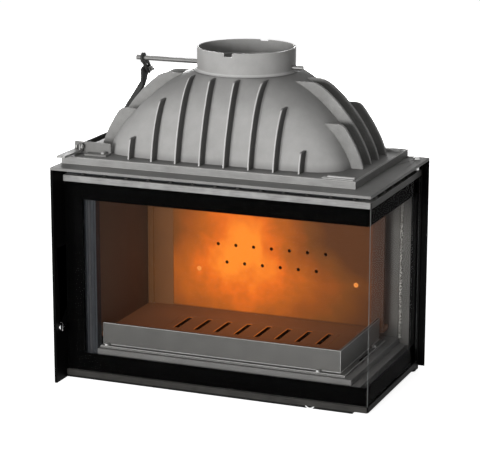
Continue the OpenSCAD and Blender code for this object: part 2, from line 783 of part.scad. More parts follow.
module hearth_plate() {
    color("sienna")
    difference() {
        union() {
            box([liner_out_x, hearth_front_y, hearth_low_z], [hearth_right_x, wall_y, hearth_z]);
            box([hearth_right_x, fire_back_y, hearth_low_z], [fire_back_end_x, wall_y, hearth_z]);
            translate([0, 0, sill_z]) linear_extrude(hearth_low_z - sill_z + eps)
                l_band(post_right_x, hearth_front_y, hearth_right_x, fire_back_y, hearth_lip_t);
        }
        translate([0, 0, hearth_z - grate_t]) linear_extrude(grate_t + 1) grate_outline(grate_clear);
        translate([0, 0, hearth_low_z - 1]) linear_extrude(hearth_t + 2) grate_outline(-grate_ledge);
    }
}
module grate() {
    color("orangered")
    difference() {
        translate([0, 0, hearth_z - grate_t]) linear_extrude(grate_t) grate_outline(0);
        for (i = [0:slot_count - 1])
            translate([grate_x + (i - (slot_count - 1) / 2) * slot_pitch - slot_w / 2,
                    grate_front_y + slot_end, hearth_z - grate_t - 1])
                cube([slot_w, grate_d - 2 * slot_end, grate_t + 2]);
    }
}
module ash_pan() {
    color("silver")
    difference() {
        translate([0, 0, floor_t + loose_gap]) linear_extrude(pan_h) grate_outline(-grate_ledge - pan_clear);
        translate([0, 0, floor_t + loose_gap + pan_t]) linear_extrude(pan_h)
            grate_outline(-grate_ledge - pan_clear - pan_t);
    }
}
module fender_bolt_places() {
    out = fender_foot_w / 2 + 1;
    for (p = [[post_right_x + fender_foot_w, fender_y - out], [fender_x - corner_w, fender_y - out],
            [fender_x + out, fire_back_y - corner_w - fender_foot_w]])
        translate([p[0], p[1], fender_z]) children();
}
module fender_bolt_hole() {
    translate([0, 0, -fender_foot_t - fender_grip - 2])
        cylinder(d = bolt_d, h = fender_foot_t + fender_grip + 3, $fn = small);
}
module fender() {
    color("gray")
    difference() {
        union() {
            translate([0, 0, rim_z]) linear_extrude(fender_top_z - rim_z)
                l_band(post_right_x + plate_gap, fender_y, fender_x, fender_end_y, fender_t);
            translate([0, 0, rim_z]) linear_extrude(fender_foot_t)
                l_band(post_right_x + plate_gap, fender_y - fender_foot_w, fender_x + fender_foot_w,
                    fender_end_y, fender_foot_w + fender_t);
        }
        fender_bolt_places() fender_bolt_hole();
    }
}
module fender_bolts() {
    color("silver")
    fender_bolt_places() bolt(bolt_d, fender_foot_t + fender_grip);
}
// Places of the hood's own bolt, behind the pull bar, and of the bracket's bolt
module own_bolt_place() {
    translate([flange_left_x + hood_bolt_edge, flange_rear_y - hood_bolt_rear_in, dome_z]) children();
}
module flange_bolt_places() {
    own_bolt_place() children();
    translate([bracket_bolt_x, bracket_bolt_y, dome_z]) children();
}
// Hole for a hood bolt, from the flange's upper face down through the top plate
module bolt_hole() {
    translate([0, 0, plate_low_z - dome_z - 1])
        cylinder(d = bolt_d, h = dome_z - plate_low_z + 2, $fn = small);
}
module hood_seat() {
    color("dimgray")
    difference() {
        union() {
            box([flange_left_x, seat_front_y, plate_z], [seat_right_x, flange_rear_y, flange_z]);
            translate([0, 0, flange_z - eps]) linear_extrude(flange_t + eps)
                l_band(flange_left_x, seat_front_y, seat_right_x, flange_rear_y, seat_rim_t);
        }
        hood_opening(plate_z, flange_z);
        flange_bolt_places() bolt_hole();
    }
}
// Shell of the dome: rings up the outside, over the collar's seat and down the inside
ring_n = 60;
rise_n = 14;
fall_n = 8;
function level(k, n) = 1 - pow(1 - k / n, 1.25);
function ring(z, t, inset) = [for (i = [0:ring_n - 1])
    let (p = dome_pt(t, 360 * i / ring_n, inset)) [p[0], p[1], z]];
function round_ring(z, r) = [for (i = [0:ring_n - 1])
    [flue_x + r * cos(360 * i / ring_n), flue_y + r * sin(360 * i / ring_n), z]];
module dome_shell() {
    rings = concat(
        [ring(flange_z, 0, 0)],
        [for (k = [0:rise_n]) ring(dome_z + dome_h * level(k, rise_n), level(k, rise_n), 0)],
        [round_ring(dome_top_z, flue_r + 0.2), round_ring(dome_top_z - dome_wall, flue_r + 0.2)],
        [for (k = [fall_n:-1:0])
            ring(dome_z + (dome_h - dome_wall) * level(k, fall_n), level(k, fall_n), dome_wall)],
        [ring(flange_z, 0, dome_wall)]);
    m = len(rings);
    polyhedron(
        points = [for (r = rings) each r],
        faces = [for (j = [0:m - 1], i = [0:ring_n - 1])
            let (a = j * ring_n, b = ((j + 1) % m) * ring_n, n = (i + 1) % ring_n)
            each [[a + i, b + n, a + n], [a + i, b + i, b + n]]]);
}
// One front or rear rib at x, up to a share of the dome's height, with its outer top corner rounded
module rib(x, top, back = false) {
    steps = 12;
    way = back ? 1 : -1;
    top_z = dome_z + dome_h * top;
    inner = [for (k = [0:steps]) let (t = top * k / steps)
        [back ? rear_of(x, t, rib_in) : front_of(x, t, rib_in), dome_z + dome_h * t]];
    outer = [for (k = [0:steps]) let (t = (top - rib_round / dome_h) * k / steps)
        [rib_crest(x, t, back), dome_z + dome_h * t]];
    crest = rib_crest(x, top, back);
    translate([x - rib_t / 2, 0, 0]) rotate([90, 0, 90]) linear_extrude(rib_t)
        polygon(concat([[outer[0][0], dome_z - 2]], outer,
            [[crest - way * 0.3 * rib_round, top_z - 0.3 * rib_round], [crest - way * rib_round, top_z]],
            [for (k = [steps:-1:0]) inner[k]], [[inner[0][0], dome_z - 2]]));
}
function rib_crest(x, t, back) =
    back ? rear_of(x, t, 0) + rib_rear_h : front_of(x, t, 0) - rib_h - rib_grow * t;
// One side fin, its front face at y, on the right with s = 1 and on the left with s = -1
module fin(y, top, s) {
    steps = 14;
    top_z = dome_z + dome_h * top;
    inner = [for (k = [0:steps]) let (t = top * k / steps)
        [width_of(y + fin_t / 2, t, rib_in), dome_z + dome_h * t]];
    outer = [for (k = [0:steps]) let (t = (top - 0.8 * fin_round / dome_h) * k / steps)
        [fin_out(t), dome_z + dome_h * t]];
    translate([flue_x, y + fin_t, 0]) mirror([s < 0 ? 1 : 0, 0, 0]) rotate([90, 0, 0]) linear_extrude(fin_t)
        polygon(concat([[outer[0][0], dome_z - 2]], outer,
            [[fin_out(top) - 0.3 * fin_round, top_z - 0.2 * fin_round], [fin_out(top) - fin_round, top_z]],
            [for (k = [steps:-1:0]) inner[k]], [[inner[0][0], dome_z - 2]]));
}
module hood() {
    color("gray") {
        difference() {
            box([flange_left_x, flange_front_y, flange_z], [flange_right_x, flange_rear_y, dome_z]);
            translate([0, 0, flange_z - 1]) linear_extrude(flange_t + 2)
                polygon([for (i = [0:ring_n - 1]) dome_pt(0, 360 * i / ring_n, rib_in)]);
            flange_bolt_places() bolt_hole();
        }
        dome_shell();
        for (i = [0:len(rib_tops) - 1], b = [false, true])
            rib(flue_x + (i - rib_mid) * rib_pitch, rib_tops[i], b);
        for (i = [0:len(fin_tops) - 1], s = [-1, 1]) fin(fin_first_y + i * fin_pitch, fin_tops[i], s);
        // Raised pads near the right corners of the flange, the front one on a flat step
        box([pad_right_x - pad_w, pad_y, dome_z - eps], [pad_right_x, pad_y + pad_d, dome_z + pad_t]);
        box([pad_right_x - pad_w - pad_step_w, pad_y - pad_step_w, dome_z - eps],
            [pad_right_x, pad_y + pad_d, dome_z + pad_step_t]);
        box([pad_right_x - pad_rear_w, flange_rear_y - pad_rear_set - pad_d, dome_z - eps],
            [pad_right_x, flange_rear_y - pad_rear_set, dome_z + pad_t]);
    }
}
module hood_bolt() {
    color("silver")
    own_bolt_place() bolt(bolt_d, flange_t + seat_t + plate_t);
}
module flue_collar() {
    color("gray")
    difference() {
        union() {
            translate([flue_x, flue_y, dome_top_z]) cylinder(r = collar_r, h = collar_h, $fn = fine);
            translate([flue_x, flue_y, dome_top_z - spigot_h])
                cylinder(r = flue_r, h = spigot_h + 1, $fn = fine);
        }
        translate([flue_x, flue_y, socket_z]) cylinder(r = flue_r, h = socket_h + 1, $fn = fine);
        translate([flue_x, flue_y, dome_top_z]) cylinder(r = flue_r - pipe_seat, h = collar_h, $fn = fine);
        translate([flue_x, flue_y, dome_top_z - spigot_h - 1])
            cylinder(r = flue_r - collar_wall, h = spigot_h + 2, $fn = fine);
        bar_along_x(flue_x - collar_r - 1, flue_x + collar_r + 1, flue_y, shaft_z, shaft_d + 2 * run_clear);
        for (n = [[0, notch_h], [180, notch_rear_h]])
            translate([flue_x, flue_y, collar_top_z]) rotate([0, 0, n[0]])
                box([-notch_w / 2, -collar_r - 1, -n[1]], [notch_w / 2, -flue_r / 2, 1]);
    }
}

module damper_shaft() {
    color("silver")
    difference() {
        bar_along_x(shaft_end_x, flue_x + shaft_right, flue_y, shaft_z, shaft_d);
        for (i = [-1, 1]) translate([flue_x + i * disc_screw_x, flue_y, shaft_z - shaft_d])
            cylinder(d = disc_screw_d, h = 2 * shaft_d, $fn = small);
    }
}
disc_r = flue_r - disc_gap;
disc_low_z = shaft_z - shaft_d / 2 - disc_t;
module damper_disc() {
    color("dimgray")
    difference() {
        translate([flue_x, flue_y, disc_low_z]) cylinder(r = disc_r, h = disc_t, $fn = fine);
        for (i = [-1, 1]) translate([flue_x + i * disc_screw_x, flue_y, disc_low_z - 1])
            cylinder(d = disc_screw_d, h = disc_t + 2, $fn = small);
    }
}
module disc_screws() {
    color("silver")
    for (i = [-1, 1]) translate([flue_x + i * disc_screw_x, flue_y, shaft_z + shaft_d / 2])
        screw(disc_screw_d, shaft_d + disc_t);
}
// Slotted crank, pressed on the shaft; the slot lets the pin run level while the crank turns
module damper_crank() {
    arm = crank_arm * sqrt(2);
    color("dimgray")
    translate([crank_x, flue_y, shaft_z]) rotate([0, 90, 0]) rotate([0, 0, 45])
        difference() {
            linear_extrude(bar_t) difference() {
                union() {
                    circle(d = shaft_d + 2 * crank_boss, $fn = small);
                    translate([0, -slot_r - crank_wall]) square([arm + 1, 2 * (slot_r + crank_wall)]);
                    translate([arm + 1, 0]) circle(r = slot_r + crank_wall, $fn = small);
                }
                translate([crank_arm - 1, -slot_r]) square([arm - crank_arm + 2, 2 * slot_r]);
                translate([crank_arm - 1, 0]) circle(r = slot_r, $fn = small);
                translate([arm + 1, 0]) circle(r = slot_r, $fn = small);
            }
            translate([0, 0, -1]) cylinder(d = shaft_d, h = bar_t + 2, $fn = small);
        }
}
// Pull bar: an upright plate at the crank, a slanting leg that clears the fins, and a level run forward
module pull_bar() {
    knee_z = shaft_z - knee_drop;
    knee_y = pin_y - knee_front;
    run_y = flue_y - leg_front;
    eye = crank_pin_d / 2 + 5;
    color("dimgray")
    difference() {
        union() {
            translate([bar_x, 0, 0]) rotate([90, 0, 90]) linear_extrude(bar_t)
                polygon([[knee_y, knee_z - eye], [knee_y, (knee_z + pin_z) / 2 + 2 * eye],
                    [pin_y - eye - 2, pin_z + eye], [pin_y + eye, pin_z + eye], [pin_y + eye, pin_z - eye],
                    [pin_y - eye - 2, knee_z - eye]]);
            hull() {
                translate([bar_x, knee_y, knee_z - eye]) cube([bar_t, bar_w, bar_w - 2]);
                translate([run_x - bar_t / 2, run_y, run_z - run_h / 2 - 1]) cube([bar_t, bar_w, bar_w - 2]);
            }
            box([run_x - bar_t / 2, bar_front_y, run_z - run_h / 2],
                [run_x + bar_t / 2, run_y + bar_w - 2, run_z + run_h / 2]);
        }
        bar_along_x(bar_x - 1, bar_x + bar_t + 1, pin_y, pin_z, crank_pin_d);
        bar_along_x(run_x - bar_t, run_x + bar_t, tab_bolt_y, run_z, tab_bolt_d);
    }
}
module crank_pin() {
    color("silver") {
        // Head, shank, washer beside the crank and split pin through the end
        washer_x = crank_x + bar_t + 1;
        bar_along_x(bar_x - crank_pin_d / 2, bar_x, pin_y, pin_z, 1.8 * crank_pin_d);
        bar_along_x(bar_x - eps, washer_x + 1.5 * crank_pin_d, pin_y, pin_z, crank_pin_d);
        bar_along_x(washer_x, washer_x + crank_pin_d / 4, pin_y, pin_z, 2.3 * crank_pin_d);
        translate([washer_x + 0.8 * crank_pin_d, pin_y, pin_z - 1.5 * crank_pin_d])
            cylinder(d = crank_pin_d / 3, h = 3 * crank_pin_d, $fn = 16);
    }
}
module pull_tab() {
    color("gray")
    difference() {
        union() {
            box([run_x + bar_t / 2, bar_front_y, tab_z], [tab_right_x, tab_rear_y, run_z + 1.2 * tab_bolt_d]);
            box([tab_right_x - tab_w + 2.5, tab_tip_y, tab_z], [tab_right_x, tab_rear_y, tab_z + tab_t]);
        }
        bar_along_x(run_x - bar_t, tab_right_x + bar_t, tab_bolt_y, run_z, tab_bolt_d);
    }
}
module pull_tab_bolt() {
    head_d = 1.8 * tab_bolt_d;
    head_t = 0.6 * tab_bolt_d;
    color("silver") {
        bar_along_x(run_x - bar_t / 2 - head_t, run_x - bar_t / 2, tab_bolt_y, run_z, head_d, 6);
        bar_along_x(run_x - bar_t / 2 - eps, tab_right_x + head_t, tab_bolt_y, run_z, tab_bolt_d);
        bar_along_x(tab_right_x, tab_right_x + head_t, tab_bolt_y, run_z, head_d, 6);
    }
}
module bar_bracket() {
    color("gray")
    difference() {
        union() {
            box([bracket_x, bracket_y, dome_z],
                [bracket_x + bracket_w, bracket_y + bracket_t, dome_z + bracket_h]);
            box([bracket_x + bracket_foot_in, bracket_y - bracket_foot_d, dome_z],
                [bracket_x + bracket_w, bracket_y + eps, dome_z + bracket_t]);
        }
        // The bracket stops short of the dome's foot
        translate([0, 0, dome_z - 1]) linear_extrude(bracket_h + 2)
            polygon([for (i = [0:ring_n - 1]) dome_pt(0, 360 * i / ring_n, -plate_gap / 2)]);
        box([run_x - bar_t / 2 - bar_clear, bracket_y - 1, run_z - run_h / 2 - bar_clear],
            [run_x + bar_t / 2 + bar_clear, bracket_y + bracket_t + 1, run_z + run_h / 2 + bar_clear]);
        translate([bracket_bolt_x, bracket_bolt_y, dome_z - 1])
            cylinder(d = bolt_d, h = bracket_t + 2, $fn = small);
    }
}
module bracket_bolt() {
    color("silver")
    translate([bracket_bolt_x, bracket_bolt_y, dome_z + bracket_t])
        bolt(bolt_d, bracket_t + flange_t - 0.5);
}

glass_low_z = clear_z - glass_bite;
glass_high_z = clear_top_z + glass_bite;
glass_back_y = glass_y + glass_t;
enamel_back_y = glass_back_y + enamel_t;
enamel_x = glass_x - glass_t - enamel_t;
module front_glass() {
    color("lightcyan", 0.3)
    box([door_left_x + 1, glass_y, glass_low_z], [glass_x, glass_y + glass_t, glass_high_z]);
}
module side_glass() {
    color("lightcyan", 0.3)
    box([glass_x - glass_t, glass_y + glass_t + 0.2, glass_low_z], [glass_x, door_rear_y - 2, glass_high_z]);
}
module front_enamel() {
    color("black")
    difference() {
        box([door_left_x + 1, glass_back_y, clear_z], [enamel_x, enamel_back_y, clear_top_z]);
        box([door_left_x + border_left + 1, glass_y, clear_z + border_low],
            [glass_x + 1, glass_y + 2 * glass_t, clear_top_z - border_top]);
    }
}
module side_enamel() {
    color("black")
    for (z = [[clear_z, clear_z + border_low], [clear_top_z - border_top, clear_top_z]])
        box([enamel_x, enamel_back_y + 0.2, z[0]], [glass_x - glass_t, door_rear_y - 2, z[1]]);
}
// A rail with its glass groove and the blind bore for its hinge pin, in the face away from the glass
module rail(z0, z1, groove_up, bite) {
    difference() {
        translate([0, 0, z0]) linear_extrude(z1 - z0)
            l_band(door_left_x, rail_front_y, rail_right_x, door_rear_y, rail_d, rail_corner_r);
        translate([0, 0, groove_up ? z1 - glass_bite - glass_clear : z0 - 1])
            linear_extrude(glass_bite + glass_clear + 1)
                l_band(door_left_x - 1, glass_y - glass_clear, glass_x + glass_clear, door_rear_y + 1,
                    glass_t + 2 * glass_clear);
        translate([hinge_x, hinge_y, groove_up ? z0 - 1 : z1 - bite - pin_end])
            cylinder(r = hinge_pin_d / 2 + run_clear, h = bite + pin_end + 1, $fn = small);
    }
}
module door_top_rail() {
    color("silver")
    difference() {
        rail(clear_top_z, door_top_z, false, top_bite);
        rail_screw_places()
            cylinder(d = rail_screw_d, h = 2 * rail_screw_grip + 0.4, center = true, $fn = small);
    }
}
module door_low_rail() {
    color("dimgray") rail(door_z, clear_z, true, low_bite);
}
module door_left_stile() {
    color("black")
    box([door_left_x, enamel_back_y, clear_z],
        [door_left_x + border_left - 1, enamel_back_y + stile_t, clear_top_z]);
}
module door_rear_stile() {
    color("gray")
    box([enamel_x - rear_stile_w, door_rear_y - rear_stile_t, clear_z], [enamel_x, door_rear_y, clear_top_z]);
}
// Flat gasket strips that bed the glass behind the enamel, at the top and the bottom
module glass_gasket() {
    color("whitesmoke")
    for (z = [clear_z, clear_top_z - gasket_w]) translate([0, 0, z]) linear_extrude(gasket_w)
        l_band(door_left_x + border_left, enamel_back_y, enamel_x,
            door_rear_y - rear_stile_t - plate_gap, gasket_t);
}
module rail_screw_places() {
    run = glass_x - door_left_x - 40;
    for (i = [0:floor(run / rail_screw_pitch)])
        translate([door_left_x + 40 + i * rail_screw_pitch, rail_back_y - rail_screw_in, door_top_z])
            children();
    side_run = door_rear_y - 40 - rail_front_y;
    for (i = [1:floor(side_run / rail_screw_pitch)])
        translate([rail_right_x - rail_screw_in, rail_front_y + i * rail_screw_pitch, door_top_z]) children();
}
module rail_screws() {
    color("silver")
    rail_screw_places() screw(rail_screw_d, rail_screw_grip);
}
// The pins are held in the top plate and in the lug, and end short of the glass
pin_end = 0.5;
low_bite = rail_low_h - glass_bite - 2 * pin_end;
top_bite = rail_top_h - glass_bite - 2 * pin_end;
lug_t = door_floor_gap - 1;
lug_r = hinge_pin_d / 2 + 5;
pin_collar_d = 1.6 * hinge_pin_d;
module hinge_pin_top() {
    color("silver")
    translate([hinge_x, hinge_y, 0]) {
        translate([0, 0, door_top_z - top_bite])
            cylinder(d = hinge_pin_d, h = plate_z - door_top_z + top_bite + eps, $fn = small);
        translate([0, 0, plate_z])
            cylinder(d1 = 1.9 * hinge_pin_d, d2 = 1.3 * hinge_pin_d, h = 4, $fn = small);
        translate([0, 0, door_top_z + 0.5]) cylinder(d = pin_collar_d, h = door_head_gap - 0.5, $fn = small);
    }
}
module hinge_pin_low() {
    color("silver")
    translate([hinge_x, hinge_y, 0]) {
        translate([0, 0, 0.5]) cylinder(d = hinge_pin_d, h = door_z + low_bite - 0.5, $fn = small);
        translate([0, 0, lug_t]) cylinder(d = pin_collar_d, h = door_z - lug_t - loose_gap, $fn = small);
    }
}
module hinge_lug() {
    color("dimgray")
    difference() {
        union() {
            translate([hinge_x, hinge_y, 0]) cylinder(r = lug_r, h = lug_t, $fn = small);
            box([hinge_x - lug_r, hinge_y, 0], [hinge_x + lug_r - 1, wall_y, lug_t]);
        }
        translate([hinge_x, hinge_y, -1]) cylinder(d = hinge_pin_d, h = lug_t + 2, $fn = small);
    }
}
latch_y = glass_y - latch_out;
module latch_knob() {
    color("silver")
    difference() {
        union() {
            bar_along_x(left_x + 0.4, jamb_x + 1, latch_y, latch_z, latch_d);
            bar_along_x(jamb_x + loose_gap, jamb_x + knob_l, latch_y, latch_z, knob_d, fine);
        }
        // The knob's slot
        box([jamb_x + knob_l / 2, latch_y - knob_slot_w / 2, latch_z - knob_d],
            [jamb_x + knob_l + 1, latch_y + knob_slot_w / 2, latch_z + knob_d]);
    }
}
module latch_washer() {
    color("silver")
    difference() {
        bar_along_x(left_x + 0.4, left_x + 2, latch_y, latch_z, 2 * latch_d - 2);
        bar_along_x(left_x - 1, left_x + 3, latch_y, latch_z, latch_d);
    }
}
// Flat slide in the base's recess: pulled forward, its holes come over the inlets
module air_slide() {
    color("gray")
    difference() {
        box([air_left_x, pull_y, air_slide_z], [air_right_x, air_rear_y, air_slide_top_z]);
        for (i = [-1, 1])
            translate([air_slide_x + i * air_slide_w / 4, air_hole_y + air_travel, air_slide_z - 1])
                cylinder(d = air_inlet_d, h = air_slide_t + 2, $fn = small);
    }
}
// Finger pull on the slide's front end: the low part of a ring, cut off under the door's rail
module air_pull() {
    color("white")
    translate([air_slide_x, pull_y, pull_d / 2 + 0.6]) rotate([90, 0, 0]) difference() {
        cylinder(d = pull_d, h = 3, $fn = fine);
        translate([0, 0, -1]) cylinder(d = pull_d - 2 * pull_rim, h = 5, $fn = fine);
        box([-pull_d, door_z - pull_d / 2 - 1.2, -1], [pull_d, pull_d, 4]);
    }
}

top_plate();
left_jamb();
back_sheet();
rear_wall();
base_casting();
lower_frame();
left_post();
header_frame();
rope_seal();
fire_plate_left();
fire_back();
fire_back_bolts();
corner_plate();
hearth_plate();
grate();
ash_pan();
fender();
fender_bolts();
hood_seat();
hood();
hood_bolt();
flue_collar();
damper_shaft();
damper_disc();
disc_screws();
damper_crank();
pull_bar();
crank_pin();
pull_tab();
pull_tab_bolt();
bar_bracket();
bracket_bolt();
front_glass();
side_glass();
front_enamel();
side_enamel();
door_top_rail();
door_low_rail();
door_left_stile();
door_rear_stile();
glass_gasket();
rail_screws();
hinge_pin_top();
hinge_pin_low();
hinge_lug();
latch_knob();
latch_washer();
air_slide();
air_pull();
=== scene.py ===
import json
import math
import bmesh
import bpy
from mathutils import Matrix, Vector


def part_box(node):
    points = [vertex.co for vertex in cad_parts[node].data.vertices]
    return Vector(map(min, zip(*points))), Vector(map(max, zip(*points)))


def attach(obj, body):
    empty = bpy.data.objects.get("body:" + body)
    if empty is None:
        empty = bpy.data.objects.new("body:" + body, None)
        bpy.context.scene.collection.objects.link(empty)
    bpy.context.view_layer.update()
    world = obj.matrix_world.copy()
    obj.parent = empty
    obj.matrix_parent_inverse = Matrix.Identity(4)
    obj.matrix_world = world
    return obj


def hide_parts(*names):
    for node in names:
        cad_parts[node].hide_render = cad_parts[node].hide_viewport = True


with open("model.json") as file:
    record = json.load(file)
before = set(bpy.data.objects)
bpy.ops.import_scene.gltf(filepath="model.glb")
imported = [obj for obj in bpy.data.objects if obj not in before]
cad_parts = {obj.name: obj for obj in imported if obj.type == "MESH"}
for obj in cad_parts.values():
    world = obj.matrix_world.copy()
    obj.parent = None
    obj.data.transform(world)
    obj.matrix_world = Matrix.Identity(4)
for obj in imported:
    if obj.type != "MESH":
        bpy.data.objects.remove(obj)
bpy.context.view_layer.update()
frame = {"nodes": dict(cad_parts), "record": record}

# Camera at the photograph's angle: in front, to the right and a little above, with a long lens.
# It is turned and tipped with no shift, so the insert stays in the middle of every other view.
cam = bpy.data.objects.new("camera", bpy.data.cameras.new("camera"))
bpy.context.collection.objects.link(cam)
TIP_DOWN, ROLL, TURN = 0.2463, -0.0012, 0.3855
cam.location = (1.5479, -3.8280, 1.3601)
cam.rotation_euler = (math.pi / 2 - TIP_DOWN, ROLL, TURN)
cam.data.sensor_fit = "HORIZONTAL"
cam.data.sensor_width = 36
cam.data.lens = 151.1
cam.data.clip_end = 60
bpy.context.scene.camera = cam
bpy.context.scene.view_settings.view_transform = "Standard"


# Studio: a wide soft lamp in front at the insert's own height, one like it behind, a weak one
# overhead and a dim pale room. What the camera, gloss and glass see behind the insert is white.
class Tree:
    """A node tree with short words for the nodes that the finishes use."""

    def __init__(self, tree):
        self.nodes, self.links = tree.nodes, tree.links

    def add(self, kind, settings=None, **inputs):
        node = self.nodes.new(kind)
        for key, value in (settings or {}).items():
            setattr(node, key, value)
        for key, value in inputs.items():
            self.set(node, key, value)
        return node

    def set(self, node, key, value):
        """Links or sets an input, named in words with _ for a space, or numbered as in i0."""
        index = int(key[1:]) if key[0] == "i" and key[1:].isdigit() else key.replace("_", " ")
        if isinstance(value, bpy.types.NodeSocket):
            self.links.new(value, node.inputs[index])
        else:
            node.inputs[index].default_value = value

    def math(self, operation, a, b=0.0):
        return self.add("ShaderNodeMath", {"operation": operation}, i0=a, i1=b).outputs[0]

    def noise(self, at, scale, detail=3.0, rough=0.5):
        node = self.add("ShaderNodeTexNoise", Vector=at, Scale=scale, Detail=detail, Roughness=rough)
        return node.outputs["Fac"]

    def span(self, value, a, b, c, d):
        """The value's range a to b, stretched and held to the range c to d."""
        return self.add("ShaderNodeMapRange", i0=value, i1=a, i2=b, i3=c, i4=d).outputs[0]

    def mix(self, factor, a, b):
        node = self.add("ShaderNodeMix", {"data_type": "RGBA"})
        for key, value in (("Factor_Float", factor), ("A_Color", a), ("B_Color", b)):
            socket = next(s for s in node.inputs if s.identifier == key)
            if isinstance(value, bpy.types.NodeSocket):
                self.links.new(value, socket)
            else:
                socket.default_value = (*value, 1.0)
        return next(s for s in node.outputs if s.identifier == "Result_Color")

    def ramp(self, value, stops):
        node = self.add("ShaderNodeValToRGB", Fac=value)
        while len(node.color_ramp.elements) < len(stops):
            node.color_ramp.elements.new(0.5)
        for element, (place, colour) in zip(node.color_ramp.elements, stops):
            element.position, element.color = place, (*colour, 1.0)
        return node.outputs[0]

    def place(self):
        return self.add("ShaderNodeTexCoord").outputs["Object"]

    def seen(self):
        """1 for what the camera, gloss and glass see, and 0 for what lights the insert."""
        rays = self.add("ShaderNodeLightPath").outputs
        both = self.math("MAXIMUM", rays["Is Camera Ray"], rays["Is Glossy Ray"])
        return self.math("MAXIMUM", both, rays["Is Transmission Ray"])


def lamp(name, place, target, power, width, height):
    data = bpy.data.lights.new(name, "AREA")
    data.energy, data.shape, data.size, data.size_y = power, "RECTANGLE", width, height
    ob = bpy.data.objects.new(name, data)
    bpy.context.collection.objects.link(ob)
    ob.location = place
    ob.rotation_euler = (Vector(target) - Vector(place)).to_track_quat("-Z", "Y").to_euler()


lamp("front_lamp", (-0.35, -4.0, 0.95), (0, 0, 0.35), 122, 1.3, 0.9)
lamp("top_lamp", (-0.5, -1.0, 3.6), (0, 0, 0), 9, 2.4, 2.4)
lamp("rear_lamp", (-1.7, 3.7, 0.75), (0, 0, 0.35), 105, 1.3, 0.9)
ROOM_LEVEL = 0.11
world = bpy.data.worlds.new("studio")
bpy.context.scene.world = world
world.use_nodes = True
room = Tree(world.node_tree)
world.node_tree.nodes["Background"].inputs["Color"].default_value = (1, 1, 1, 1)
room.set(world.node_tree.nodes["Background"], "Strength", room.span(room.seen(), 0, 1, ROOM_LEVEL, 1.0))

# Floor: one plain pale sheet under the insert. The camera sees it as white, with the insert's
# soft shadow on it. It isn't part of the object.
FLOOR_HALF, FLOOR_DROP, FLOOR_GLOW = 9, 0.0006, 0.9
floor_bm = bmesh.new()
bmesh.ops.create_grid(floor_bm, x_segments=1, y_segments=1, size=FLOOR_HALF)
bmesh.ops.translate(floor_bm, verts=floor_bm.verts, vec=(0, 0, -FLOOR_DROP))
floor_mesh = bpy.data.meshes.new("floor")
floor_bm.to_mesh(floor_mesh)
floor_bm.free()
floor = bpy.data.objects.new("floor", floor_mesh)
bpy.context.collection.objects.link(floor)


def blank(name):
    """A new material with its node tree and its shader."""
    m = bpy.data.materials.new(name)
    m.use_nodes = True
    return m, Tree(m.node_tree), m.node_tree.nodes["Principled BSDF"]


pale_floor, floor_tree, floor_shader = blank("pale_floor")
floor_shader.inputs["Base Color"].default_value = (0.8, 0.8, 0.8, 1)
floor_shader.inputs["Roughness"].default_value = 0.9
floor_shader.inputs["Specular IOR Level"].default_value = 0.1
floor_shader.inputs["Emission Color"].default_value = (1, 1, 1, 1)
floor_tree.set(floor_shader, "Emission_Strength", floor_tree.span(floor_tree.seen(), 0, 1, 0.0, FLOOR_GLOW))
floor_mesh.materials.append(pale_floor)

# Base: a dark iron casting with a thick floor, a rear wall and a rounded front edge, left as it
# comes from the sand. The lower hinge lug is bolted to its side.
body_of = {n: b for b, members in frame["record"]["behaviour"]["bodies"].items() for n in members}


def surface_group(name, **settings):
    """An empty group with the given inputs, that puts out Tone, Rough and Normal."""
    group = bpy.data.node_groups.new(name, "ShaderNodeTree")
    for label, value in settings.items():
        kind = "NodeSocketVector" if isinstance(value, tuple) else "NodeSocketFloat"
        group.interface.new_socket(name=label, in_out="INPUT", socket_type=kind).default_value = value
    for label, kind in (("Tone", "Float"), ("Rough", "Float"), ("Normal", "Vector")):
        group.interface.new_socket(name=label, in_out="OUTPUT", socket_type="NodeSocket" + kind)
    return group


skin = surface_group("sand_cast_skin", Relief=0.25)
t = Tree(skin)
skin_in, skin_out, at = t.add("NodeGroupInput"), t.add("NodeGroupOutput"), t.place()
grain, pits = t.noise(at, 520, 3, 0.6), t.noise(at, 150, 4, 0.6)
mottle, broad = t.noise(at, 34, 4, 0.55), t.noise(at, 6)
tone = t.math("ADD", t.math("MULTIPLY", mottle, 0.45), t.math("MULTIPLY", broad, 0.35))
tone = t.math("ADD", tone, t.math("MULTIPLY", grain, 0.2))
t.set(skin_out, "Tone", t.span(tone, 0.32, 0.68, 0.0, 1.0))
t.set(skin_out, "Rough", t.span(mottle, 0.3, 0.7, 0.0, 1.0))
height = t.math("ADD", t.math("MULTIPLY", grain, 0.6), t.math("MULTIPLY", pits, 0.7))
t.set(skin_out, "Normal", t.add("ShaderNodeBump", Strength=skin_in.outputs["Relief"], Distance=0.0009,
                                Height=height).outputs["Normal"])


def cast(name, dark, light, rough, relief, specular=0.05, highlight_tone=None):
    """Sand-cast or painted iron between two tones. The last argument, if given, is the tone of the painted
    highlight on marked crests and edges, and marked corners get painted shade.
    """
    m, t, shader = blank(name)
    g = t.add("ShaderNodeGroup", {"node_tree": skin}, Relief=relief)
    colour = t.mix(g.outputs["Tone"], dark, light)
    if highlight_tone:
        # Marked crests and edges are painted lighter as a painted highlight, and marked corners darker as
        # painted shade.
        painted_highlight = t.add("ShaderNodeAttribute", {"attribute_name": "painted_highlight"}).outputs["Fac"]
        deep = t.add("ShaderNodeAttribute", {"attribute_name": "deep"}).outputs["Fac"]
        painted_shade_tone = [c * 0.3 for c in dark]
        colour = t.mix(deep, t.mix(painted_highlight, colour, highlight_tone), painted_shade_tone)
    t.set(shader, "Base_Color", colour)
    t.set(shader, "Roughness", t.span(g.outputs["Rough"], 0.0, 1.0, rough[0], rough[1]))
    t.set(shader, "Normal", g.outputs["Normal"])
    shader.inputs["Specular IOR Level"].default_value = specular
    return m


def dress(material, *names):
    """Gives the nodes' own shapes this finish."""
    for name in names:
        for s in frame["nodes"][name].material_slots:
            s.material = material


